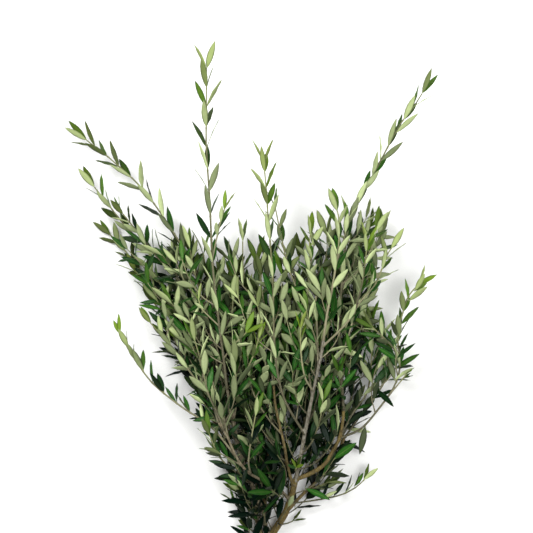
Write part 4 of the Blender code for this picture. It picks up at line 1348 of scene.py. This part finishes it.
class Finish:
    """The start of every material: its Principled shader and the steps that they share."""

    name: str = "finish"
    roughness: float = 0.5
    specular: float = 0.5

    def __init__(self) -> None:
        """Makes the material and paints it."""
        self.material = bpy.data.materials.new(self.name)
        self.material.use_nodes = True
        self.tree = self.material.node_tree
        self.shader = self.tree.nodes["Principled BSDF"]
        self.shader.inputs["Roughness"].default_value = self.roughness
        self.shader.inputs["Specular IOR Level"].default_value = self.specular
        self.place = add_node(self.tree, "ShaderNodeTexCoord", {}).outputs["Object"]
        self.paint()

    def paint(self) -> None:
        """Links the colour and relief; each finish has its own."""

    def attribute(self, name: str) -> Socket:
        """The value of one of the piece's own attributes."""
        return add_node(self.tree, "ShaderNodeAttribute", {"attribute_name": name}).outputs["Fac"]

    def noise(self, size_mm: float, detail: float = 2.0, place: Socket | None = None) -> Socket:
        """Noise, the unevenness of a grown surface.

        Args:
            size_mm: about how many millimetres its features are across.
            detail: how many finer layers it has.
            place: where it is looked up, if not at the object's own place.

        Returns:
            Its value, from 0 to 1.
        """
        made = add_node(self.tree, "ShaderNodeTexNoise", {"Scale": 1.0 / (size_mm * MM), "Detail": detail},
                        {"Vector": place or self.place})
        return made.outputs["Fac"]

    def spread(self, value: Socket, low: float, high: float, start: float = 0.0, end: float = 1.0) -> Socket:
        """Draws out a part of a value's range.

        Args:
            value: the value.
            low: where that part of its range begins.
            high: where it ends.
            start: what low and anything below it become.
            end: what high and anything above it become.

        Returns:
            The new value.
        """
        made = add_node(self.tree, "ShaderNodeMapRange",
                        {"From Min": low, "From Max": high, "To Min": start, "To Max": end}, {"Value": value})
        return made.outputs["Result"]

    def reckon(self, operation: str, first: Socket, second: Socket | float | None = None) -> Socket:
        """Puts one or two values through an operation.

        Args:
            operation: the math node's name for it.
            first: the first value.
            second: the second value, where the operation has one.

        Returns:
            The outcome.
        """
        settings = {"operation": operation}
        links = {0: first}
        if isinstance(second, Socket):
            links[1] = second
        elif second is not None:
            settings[1] = second
        return add_node(self.tree, "ShaderNodeMath", settings, links).outputs["Value"]

    def times(self, first: Socket, second: Socket | float) -> Socket:
        """Two values multiplied."""
        return self.reckon("MULTIPLY", first, second)

    def plus(self, first: Socket, second: Socket) -> Socket:
        """Two values added."""
        return self.reckon("ADD", first, second)

    def mix(self, share: Socket | float, first: Socket | str, second: Socket | str) -> Socket:
        """Mixes two colours.

        Args:
            share: the share of the second.
            first: the first colour, as a hex value or a socket.
            second: the second colour, as a hex value or a socket.

        Returns:
            The mixed colour.
        """
        settings = {"data_type": "RGBA"}
        links = {}
        for number, value in ((0, share), (6, first), (7, second)):
            if isinstance(value, Socket):
                links[number] = value
            else:
                settings[number] = linear(value) if isinstance(value, str) else value
        return add_node(self.tree, "ShaderNodeMix", settings, links).outputs[2]

    def colour(self, source: Socket) -> None:
        """Gives the shader its colour."""
        self.tree.links.new(source, self.shader.inputs["Base Color"])

    def relief(self, height: Socket, height_mm: float, strength: float) -> None:
        """Gives the shader its relief.

        Args:
            height: the height, from 0 to 1.
            height_mm: how many millimetres a height of 1 is.
            strength: the share of it that shows.
        """
        made = add_node(self.tree, "ShaderNodeBump", {"Distance": height_mm * MM, "Strength": strength},
                        {"Height": height})
        self.tree.links.new(made.outputs["Normal"], self.shader.inputs["Normal"])


class LeafFinish(Finish):
    """What both sides of a leaf share: the leaf's own map, and the lines of its midrib and veins.

    The map runs from 0 to 1 across the blade and from its root to its tip, so the sizes of the lines are
    shares of the blade's width and of the leaf's length.
    """

    midrib_place: float = 0.5
    midrib_edge: Range = (0.02, 0.055)
    veins_on_leaf: float = 13.0
    vein_slant: float = -0.55
    vein_crest: Range = (0.55, 1.0)
    stalk_end: Range = (0.05, 0.12)

    def leaf_lines(self) -> tuple[Socket, Socket, Socket]:
        """Draws the lines of a leaf.

        Returns:
            The midrib's line, the side veins' height and the stalk, each from 0 to 1.
        """
        leaf_map = add_node(self.tree, "ShaderNodeUVMap", {"uv_map": "leaf_map"}).outputs["UV"]
        across, along, _ = add_node(self.tree, "ShaderNodeSeparateXYZ", {}, {"Vector": leaf_map}).outputs
        off_rib = self.reckon("ABSOLUTE", self.reckon("SUBTRACT", across, self.midrib_place))
        rib = self.spread(off_rib, *self.midrib_edge, 1.0, 0.0)
        slanted = self.plus(along, self.times(off_rib, self.vein_slant))
        wave = self.reckon("SINE", self.times(slanted, 2.0 * math.pi * self.veins_on_leaf))
        return rib, self.spread(wave, *self.vein_crest), self.spread(along, *self.stalk_end, 1.0, 0.0)


class WaxedUpperSide(LeafFinish):
    """The upper side of a leaf, grown under a thick, waxy skin: deep green with a soft shine."""

    name: str = "waxed_leaf_skin"
    roughness: float = 0.32
    specular: float = 0.1

    def paint(self) -> None:
        """Green, darker at random and in painted shade, yellower where young, with a pale midrib and sunken
        veins.
        """
        rib, veins, stalk = self.leaf_lines()
        # Patches 5 mm across are the unevenness of a living leaf. They break up the green.
        patches = self.noise(5.0, 3.0)
        green = self.mix(self.spread(patches, 0.35, 0.7, 0.0, 0.45), "#2d621f", "#15300d")
        green = self.mix(self.times(veins, 0.12), green, "#3a5c25")
        green = self.mix(self.times(rib, 0.4), green, "#7d9450")
        # The tone mixes in near-black green: dark leaves at random, and painted shade near the cut end and
        # deep inside.
        green = self.mix(self.attribute("tone"), "#03140a", green)
        green = self.mix(self.attribute("youth"), green, "#7c992f")
        self.colour(self.mix(self.times(stalk, 0.6), green, "#96a067"))
        height = self.plus(self.times(veins, -0.5), self.times(rib, -1.0))
        self.relief(self.plus(height, self.times(self.noise(0.9), 0.5)), 0.12, 0.7)


class FeltedUnderside(LeafFinish):
    """The underside of a leaf, covered in tiny pale scales: a matt, silvery sage."""

    name: str = "felted_leaf_underside"
    roughness: float = 0.72
    specular: float = 0.12

    def paint(self) -> None:
        """Silvery sage, darker at random and in painted shade, with a raised, greener midrib and a fine grain
        of scales.
        """
        rib, veins, stalk = self.leaf_lines()
        # The scales are 0.15 mm across, drawn at 0.5 mm so that they show in a close view.
        scales = self.noise(0.5)
        sage = self.mix(self.spread(self.noise(6.0, 3.0), 0.35, 0.7, 0.0, 0.25), "#c3d198", "#708a48")
        sage = self.mix(self.times(veins, 0.15), sage, "#7f905c")
        sage = self.mix(self.times(rib, 0.4), sage, "#b4bd90")
        sage = self.mix(self.spread(scales, 0.35, 0.65, 0.0, 0.12), sage, "#d4deae")
        # The tone mixes in dark green: dark leaves at random, and painted shade near the cut end and deep
        # inside.
        sage = self.mix(self.attribute("tone"), "#0d1f0b", sage)
        sage = self.mix(self.attribute("youth"), sage, "#7f9040")
        self.colour(self.mix(self.times(stalk, 0.6), sage, "#a0a771"))
        self.relief(self.plus(rib, self.times(scales, 0.35)), 0.12, 0.8)


class YoungBark(Finish):
    """The skin of a leafy twig: pale grey-green, dulled by tiny scales, browner towards its foot."""

    name: str = "young_twig_bark"
    roughness: float = 0.7
    specular: float = 0.3

    def paint(self) -> None:
        """Grey-green, fine streaks, and raised breathing pores half a millimetre across."""
        # The tone darkens the bark: a random tone per twig, and painted shade near the cut end and deep
        # inside.
        skin = self.mix(self.attribute("tone"), "#393624", "#a29c7c")
        skin = self.mix(self.attribute("youth"), skin, "#848c50")
        skin = self.mix(self.spread(self.noise(1.2, 3.0), 0.4, 0.7, 0.0, 0.5), skin, "#77725a")
        pores = self.spread(self.noise(0.6), 0.62, 0.7)
        self.colour(self.mix(self.times(pores, 0.5), skin, "#c9c4ab"))
        self.relief(pores, 0.1, 0.6)


class WoodyBark(Finish):
    """The bark of the limbs: smooth young bark, grey or golden brown, stretched along the wood."""

    name: str = "woody_bark"
    roughness: float = 0.78
    specular: float = 0.25

    def paint(self) -> None:
        """Grey or golden by limb, with long streaks, dark cracks where it is old, and pale pores."""
        # Streaks 1.5 mm wide and eight times as long are where the bark was stretched as the limb grew.
        drawn_out = add_node(self.tree, "ShaderNodeMapping", {"Scale": (1.0, 0.13, 1.0)},
                             {"Vector": self.place}).outputs["Vector"]
        streaks = self.noise(1.5, 4.0, drawn_out)
        bark = self.mix(self.attribute("golden"), "#7f7b6e", "#6c5a22")
        clouds = self.times(self.spread(self.noise(9.0, 2.0), 0.35, 0.65, 0.0, 0.4), self.attribute("golden"))
        bark = self.mix(clouds, bark, "#84733f")
        bark = self.mix(self.spread(streaks, 0.42, 0.62, 0.0, 0.8), bark, "#3d3523")
        cracks = self.times(self.spread(self.noise(0.8, 4.0, drawn_out), 0.56, 0.66), self.attribute("age"))
        bark = self.mix(cracks, bark, "#3a3021")
        pores = self.spread(self.noise(0.9), 0.66, 0.72)
        self.colour(self.mix(self.times(pores, 0.6), bark, "#b7ab8a"))
        height = self.plus(self.times(streaks, 0.7), self.times(cracks, -1.0))
        self.relief(self.plus(height, self.times(pores, 0.4)), 0.35, 0.9)


@dataclass(frozen=True)
class CutEnd:
    """Where the trunk was cut: the middle of the cut, which its growth rings go round, in millimetres."""

    middle: Point = (-4.0, -24.0, 5.8)
    ring_width: float = 1.8


class CutWood(Finish):
    """The end grain where the branch was cut across: pale wood, fine growth rings, darker heart."""

    name: str = "cut_end_grain"
    roughness: float = 0.65
    specular: float = 0.3

    def paint(self) -> None:
        """Growth rings 1.8 mm wide round the pith, with fibre ends as a fine grain."""
        cut = CutEnd()
        centred = add_node(self.tree, "ShaderNodeMapping", {"Location": tuple(-c * MM for c in cut.middle)},
                           {"Vector": self.place}).outputs["Vector"]
        # At a scale of 1 the wave has 20 / 2 pi rings to a metre.
        rings = add_node(self.tree, "ShaderNodeTexWave",
                         {"wave_type": "RINGS", "rings_direction": "Y", "Distortion": 1.2, "Detail": 1.0,
                          "Scale": 2.0 * math.pi / (20.0 * cut.ring_width * MM)}, {"Vector": centred})
        away = add_node(self.tree, "ShaderNodeVectorMath", {"operation": "LENGTH"}, {0: centred})
        wood = self.mix(self.times(rings.outputs["Fac"], 0.5), "#d9c79b", "#b99a66")
        wood = self.mix(self.spread(away.outputs["Value"], 0.0005, 0.003, 0.6, 0.0), wood, "#8a6a41")
        fibres = self.noise(0.35)
        self.colour(self.mix(self.spread(fibres, 0.4, 0.7, 0.0, 0.3), wood, "#a5875a"))
        self.relief(fibres, 0.1, 0.6)


class PaleTop(Finish):
    """The surface it lies on: a board painted matt white, slightly uneven from the roller."""

    name: str = "matt_white_board"
    roughness: float = 0.9
    specular: float = 0.2

    def paint(self) -> None:
        """Almost even white, with a faint nap."""
        nap = self.noise(1.5)
        self.colour(self.mix(self.spread(nap, 0.3, 0.7), "#f6f6f4", "#fbfbfa"))
        self.relief(nap, 0.05, 0.2)


@dataclass
class Finishes:
    """The finishes of the whole object, made once."""

    upper: Finish
    underside: Finish
    twig: Finish
    bark: Finish
    cut: Finish


def mesh_object(name: str, build: bmesh.types.BMesh, finishes: list[Finish]) -> bpy.types.Object:
    """An object from a mesh under construction.

    Args:
        name: the object's name.
        build: the mesh, which is freed.
        finishes: its materials, in the order of its faces' material numbers.

    Returns:
        The object, at the origin.
    """
    mesh = bpy.data.meshes.new(name)
    build.to_mesh(mesh)
    build.free()
    for finish in finishes:
        mesh.materials.append(finish.material)
    mesh.shade_smooth()
    made = bpy.data.objects.new(name, mesh)
    bpy.context.scene.collection.objects.link(made)
    return made


@dataclass
class Foliage:
    """The leafy part of one shoot: its twig, its side twigs and all their leaves, in one piece."""

    name: str
    twigs: list[GrownShoot]
    form: LeafForm
    twig_sides: int = 7
    ring_spacing: float = 8.0
    joint_swelling: float = 0.28
    joint_reach: float = 1.4
    foot_swelling: float = 0.45
    foot_reach: float = 3.5
    bud_length: float = 1.6
    usual_youth: float = 0.35

    def twig(self, grown: GrownShoot) -> bmesh.types.BMesh:
        """The bark of one twig, swollen at its foot and leaf joints, and closed by a bud.

        Args:
            grown: the twig's shoot.

        Returns:
            The mesh under construction.
        """
        route = grown.route
        joints = leaf_nodes(grown.shoot, route)
        stations = list(route.stations(0.0, self.ring_spacing))
        for joint in joints:
            stations += [joint - self.joint_reach, joint, joint + self.joint_reach]
        stations = np.array(sorted({round(s, 3) for s in stations if 0.0 <= s <= route.length}))
        swelling = 1.0 + self.foot_swelling * np.exp(-stations / self.foot_reach)
        for joint in joints:
            swelling += self.joint_swelling * np.exp(-((stations - joint) / self.joint_reach) ** 2)
        build = tube(route, stations, self.twig_sides, swelling=swelling)
        tip = route.at(route.length)
        end = min(build.faces, key=lambda face: (face.calc_center_median() - Vector(tip * MM)).length)
        pointed(build, end, tip + route.heading(route.length) * self.bud_length)
        return build

    def mesh(self) -> bmesh.types.BMesh:
        """All the twigs and leaves of the piece.

        Returns:
            The mesh under construction, with the tone, which holds painted shade, and the youth of each
            corner.
        """
        build = bmesh.new()
        tone = build.verts.layers.float.new("tone")
        youth = build.verts.layers.float.new("youth")
        build.loops.layers.uv.new("leaf_map")
        for grown in self.twigs:
            shade = random.Random(f"{SEED} bark {grown.shoot.name}").random()
            freshness = self.usual_youth + (1.0 - self.usual_youth) * grown.freshness
            for vert in self.add(build, self.twig_mesh(grown), None, LeafSide.TWIG):
                place = np.array(vert.co) / MM
                # The twig's random tone, darkened by painted shade near the cut end and deep inside.
                vert[tone] = shade * painted_light_share(place)
                vert[youth] = (grown.route.nearest(place) / grown.route.length) ** 2 * freshness
            for leaf in grown.leaves:
                for vert in self.add(build, self.form.mesh, self.form.spread(leaf), None):
                    vert[tone] = leaf.tone
                    vert[youth] = leaf.youth
        return build

    def twig_mesh(self, grown: GrownShoot) -> bpy.types.Mesh:
        """The twig's bark as mesh data.

        Args:
            grown: the twig's shoot.

        Returns:
            The mesh data.
        """
        build = self.twig(grown)
        mesh = bpy.data.meshes.new("twig")
        build.to_mesh(mesh)
        build.free()
        return mesh

    def add(self, build: bmesh.types.BMesh, mesh: bpy.types.Mesh, points: np.ndarray | None,
            side: LeafSide | None) -> list[bmesh.types.BMVert]:
        """Adds mesh data to the piece.

        Args:
            build: the piece under construction.
            mesh: what is added.
            points: where its corners go, in millimetres, or None where they stay.
            side: the material of all its faces, or None to keep theirs.

        Returns:
            The corners that it added.
        """
        corners_before, faces_before = len(build.verts), len(build.faces)
        build.from_mesh(mesh)
        build.verts.ensure_lookup_table()
        build.faces.ensure_lookup_table()
        corners = build.verts[corners_before:]
        if points is not None:
            for vert, point in zip(corners, points):
                vert.co = point * MM
        if side is not None:
            for face in build.faces[faces_before:]:
                face.material_index = side.value
        return corners

    def dress(self, finishes: Finishes, node: str | None) -> bpy.types.Object:
        """Makes the piece and gives it its finishes.

        Args:
            finishes: the finishes of the whole object.
            node: the solid that it stands for, if any.

        Returns:
            The piece.
        """
        piece = mesh_object(self.name, self.mesh(), [finishes.upper, finishes.underside, finishes.twig])
        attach(piece, BODY)
        if node:
            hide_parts(node)
        return piece


@dataclass
class Wood:
    """The trunk, its limbs and the feet of the shoots, fused under one skin of bark.

    The bark's low knots are two crossed waves, given by their rates in two directions. The cut face's rings
    are given by how far each is ahead of the trunk's end, and its share of the trunk's radius. Other sizes
    are millimetres.
    """

    branch: Branch
    sides: int = 14
    ring_spacing: float = 6.0
    voxel: float = 0.85
    smoothing: int = 3
    smoothing_factor: float = 0.5
    knot_size: float = 14.0
    knot_height: float = 0.28
    knot_waves: tuple[Range, Range] = ((2.1, 1.7), (2.6, 0.9))
    young_knots: float = 0.3
    old_radius: float = 6.4
    young_radius: float = 2.2
    cut_sides: int = 28
    cut_rings: tuple[Range, ...] = ((-0.28, 0.84), (-0.2, 0.88), (1.2, 0.88))
    cut_lowest: float = 0.4
    cut_sharp_deg: float = 50.0

    def skin(self) -> bpy.types.Object:
        """The limbs' tubes, fused into one closed skin.

        Returns:
            The skin, without its finish.
        """
        build = bmesh.new()
        limbs = {stem.name for stem in self.branch.stems}
        for stem in self.branch.stems:
            route = self.branch.routes[stem.name]
            self.merge(build, tube(route, route.stations(0.0, self.ring_spacing), self.sides))
        for shoot in self.branch.shoots:
            route = self.branch.routes[shoot.name]
            if route.start > FACE_GAP and shoot.parent in limbs:
                self.merge(build, tube(route, (0.0, route.start), self.sides, COLLAR))
        rough = mesh_object("bough_rough", build, [])
        fuse = rough.modifiers.new("fuse", "REMESH")
        fuse.mode = "VOXEL"
        fuse.voxel_size = self.voxel * MM
        graph = bpy.context.evaluated_depsgraph_get()
        mesh = bpy.data.meshes.new_from_object(rough.evaluated_get(graph))
        bpy.data.objects.remove(rough)
        made = bpy.data.objects.new("bough_bark", mesh)
        bpy.context.scene.collection.objects.link(made)
        return made

    def merge(self, build: bmesh.types.BMesh, part: bmesh.types.BMesh) -> None:
        """Adds one mesh under construction to another.

        Args:
            build: the mesh that is added to.
            part: the mesh that is added, which is freed.
        """
        mesh = bpy.data.meshes.new("limb")
        part.to_mesh(mesh)
        part.free()
        build.from_mesh(mesh)
        bpy.data.meshes.remove(mesh)

    def dress(self, finishes: Finishes) -> bpy.types.Object:
        """Smooths the skin, raises its knots, marks its age and gives it its finish.

        Args:
            finishes: the finishes of the whole object.

        Returns:
            The piece.
        """
        piece = self.skin()
        build = bmesh.new()
        build.from_mesh(piece.data)
        for _ in range(self.smoothing):
            bmesh.ops.smooth_vert(build, verts=build.verts, factor=self.smoothing_factor, use_axis_x=True,
                                  use_axis_y=True, use_axis_z=True)
        bmesh.ops.recalc_face_normals(build, faces=build.faces)
        golden = build.verts.layers.float.new("golden")
        age = build.verts.layers.float.new("age")
        tree, facts = self.stem_tree()
        for vert in build.verts:
            _, index, _ = tree.find(vert.co)
            vert[golden], radius = facts[index]
            grown_old = (radius - self.young_radius) / (self.old_radius - self.young_radius)
            vert[age] = min(1.0, max(0.0, grown_old))
            rough = self.young_knots + (1.0 - self.young_knots) * vert[age]
            vert.co += vert.normal * self.knot(vert.co) * self.knot_height * MM * rough
            vert.co.z = max(vert.co.z, 0.0)
        build.to_mesh(piece.data)
        build.free()
        piece.data.shade_smooth()
        piece.data.materials.clear()
        piece.data.materials.append(finishes.bark.material)
        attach(piece, BODY)
        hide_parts(BOUGH)
        return piece

    def knot(self, place: Vector) -> float:
        """How far the bark stands out in a knot.

        Args:
            place: the place in metres.

        Returns:
            The share of a knot's height, from -1 to 1.
        """
        x, y, z = (value / (self.knot_size * MM) for value in place)
        (along, across), (up, slant) = self.knot_waves
        return math.sin(y * along + x * across) * math.sin(z * up + y * slant)

    def stem_tree(self) -> tuple[KDTree, list[Range]]:
        """Where the limbs are.

        Returns:
            Their centrelines' points for looking up, and how golden each point's limb is and its radius.
        """
        rows = []
        for stem in self.branch.stems:
            route = self.branch.routes[stem.name]
            for point, distance in zip(route.points, route.along):
                rows.append((point * MM, GOLDEN[stem.name], route.radius(distance)))
        tree = KDTree(len(rows))
        for number, (point, _, _) in enumerate(rows):
            tree.insert(point, number)
        tree.balance()
        return tree, [(golden, radius) for _, golden, radius in rows]

    def cut_face(self, finishes: Finishes) -> bpy.types.Object:
        """The bare wood of the cut end: a thin disc with a rounded rim, inside the ring of bark.

        Args:
            finishes: the finishes of the whole object.

        Returns:
            The piece.
        """
        route = self.branch.routes[self.branch.stems[0].name]
        heading = route.heading(0.0)
        angles = 2.0 * math.pi * np.arange(self.cut_sides) / self.cut_sides
        outwards = spokes(level_side(heading), heading, angles)
        rings = []
        for ahead, share in self.cut_rings:
            ring = route.at(0.0) + heading * ahead + outwards * route.radius(0.0) * share
            ring[:, 2] = np.maximum(ring[:, 2], self.cut_lowest)
            rings.append(ring)
        piece = mesh_object("trunk_cut_face", outward(swept(rings)[0]), [finishes.cut])
        piece.data.set_sharp_from_angle(angle=math.radians(self.cut_sharp_deg))
        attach(piece, BODY)
        return piece


@dataclass(frozen=True)
class SoftLight:
    """A soft square light: its place and the length of its side in metres, and its power in watts."""

    name: str
    place: Point
    side: float
    watts: float


@dataclass
class Studio:
    """The pale surface, the soft lights and the camera that looks straight down, in metres."""

    camera_height: float = 6.0
    focus_height: float = 0.06
    sensor_mm: float = 36.0
    sight: float = 50.0
    floor_side: float = 6.0
    floor_middle: float = 0.35
    floor_drop: float = 0.0002
    lights: tuple[SoftLight, ...] = (SoftLight("key_light", (-0.9, 1.3, 2.4), 1.1, 68.0),
                                     SoftLight("fill_light", (0.9, 0.2, 2.75), 1.5, 72.0))
    lights_face: Point = (0.0, 0.4, 0.05)
    sky_colour: str = "#ffffff"
    sky_strength: float = 0.09

    def floor(self) -> None:
        """Lays the surface just under the branch."""
        build = bmesh.new()
        bmesh.ops.create_grid(build, x_segments=1, y_segments=1, size=self.floor_side / 2.0)
        bmesh.ops.translate(build, verts=build.verts, vec=(0.0, self.floor_middle, -self.floor_drop))
        mesh_object("pale_floor", build, [PaleTop()])

    def hang(self, light: SoftLight) -> None:
        """Hangs a light so that it faces the branch.

        Args:
            light: the light's name, place, size and power.
        """
        lamp = bpy.data.lights.new(light.name, "AREA")
        lamp.size = light.side
        lamp.energy = light.watts
        made = bpy.data.objects.new(light.name, lamp)
        made.location = light.place
        aim = Vector(self.lights_face) - Vector(light.place)
        made.rotation_euler = aim.to_track_quat("-Z", "Y").to_euler()
        bpy.context.scene.collection.objects.link(made)

    def sky(self) -> None:
        """Lights the branch a little from all round."""
        world = bpy.data.worlds.new("soft_sky")
        world.use_nodes = True
        sky = world.node_tree.nodes["Background"]
        sky.inputs["Color"].default_value = linear(self.sky_colour)
        sky.inputs["Strength"].default_value = self.sky_strength
        bpy.context.scene.world = world

    def camera(self) -> None:
        """Stands the camera over the middle of the photograph's frame."""
        middle = PHOTO_PX / 2.0
        lens = bpy.data.cameras.new("camera")
        lens.sensor_width = self.sensor_mm
        frame_width = PHOTO_PX * MM_PER_PIXEL * MM
        lens.lens = self.sensor_mm * self.camera_height / frame_width
        lens.clip_end = self.sight
        made = bpy.data.objects.new("camera", lens)
        made.location = ((middle - ZERO_PX[0]) * MM_PER_PIXEL * MM, (ZERO_PX[1] - middle) * MM_PER_PIXEL * MM,
                         self.camera_height + self.focus_height)
        bpy.context.scene.collection.objects.link(made)
        bpy.context.scene.camera = made

    def build(self) -> None:
        """Sets up the floor, the lights, the sky and the camera."""
        self.floor()
        for light in self.lights:
            self.hang(light)
        self.sky()
        bpy.context.scene.view_settings.view_transform = "Standard"
        self.camera()


def main() -> None:
    """Grows the branch, makes and dresses its pieces, and sets up the studio."""
    logging.basicConfig(level=logging.INFO, format="%(name)s: %(message)s")
    branch = Branch(LIMBS, SHOOTS)
    finishes = Finishes(WaxedUpperSide(), FeltedUnderside(), YoungBark(), WoodyBark(), CutWood())
    form = LeafForm()
    wood = Wood(branch)
    pieces = [wood.dress(finishes), wood.cut_face(finishes)]
    for shoot in SHOOTS:
        twigs = [branch.grown[shoot.name]] + branch.side_twigs[shoot.name]
        pieces.append(Foliage(f"{shoot.name}_foliage", twigs, form).dress(finishes, shoot.name))
    if branch.side_twigs[BOUGH]:
        pieces.append(Foliage("bough_foliage", branch.side_twigs[BOUGH], form).dress(finishes, None))
    total = 0
    for piece in pieces:
        piece.data.calc_loop_triangles()
        total += len(piece.data.loop_triangles)
        LOG.info("%s: %d triangles", piece.name, len(piece.data.loop_triangles))
    grown = list(branch.grown.values()) + [twig for twigs in branch.side_twigs.values() for twig in twigs]
    LOG.info("%d pieces, %d triangles, %d side twigs, %d leaves", len(pieces), total,
             len(grown) - len(SHOOTS), sum(len(twig.leaves) for twig in grown))
    Studio().build()


if __name__ == "__main__":
    main()
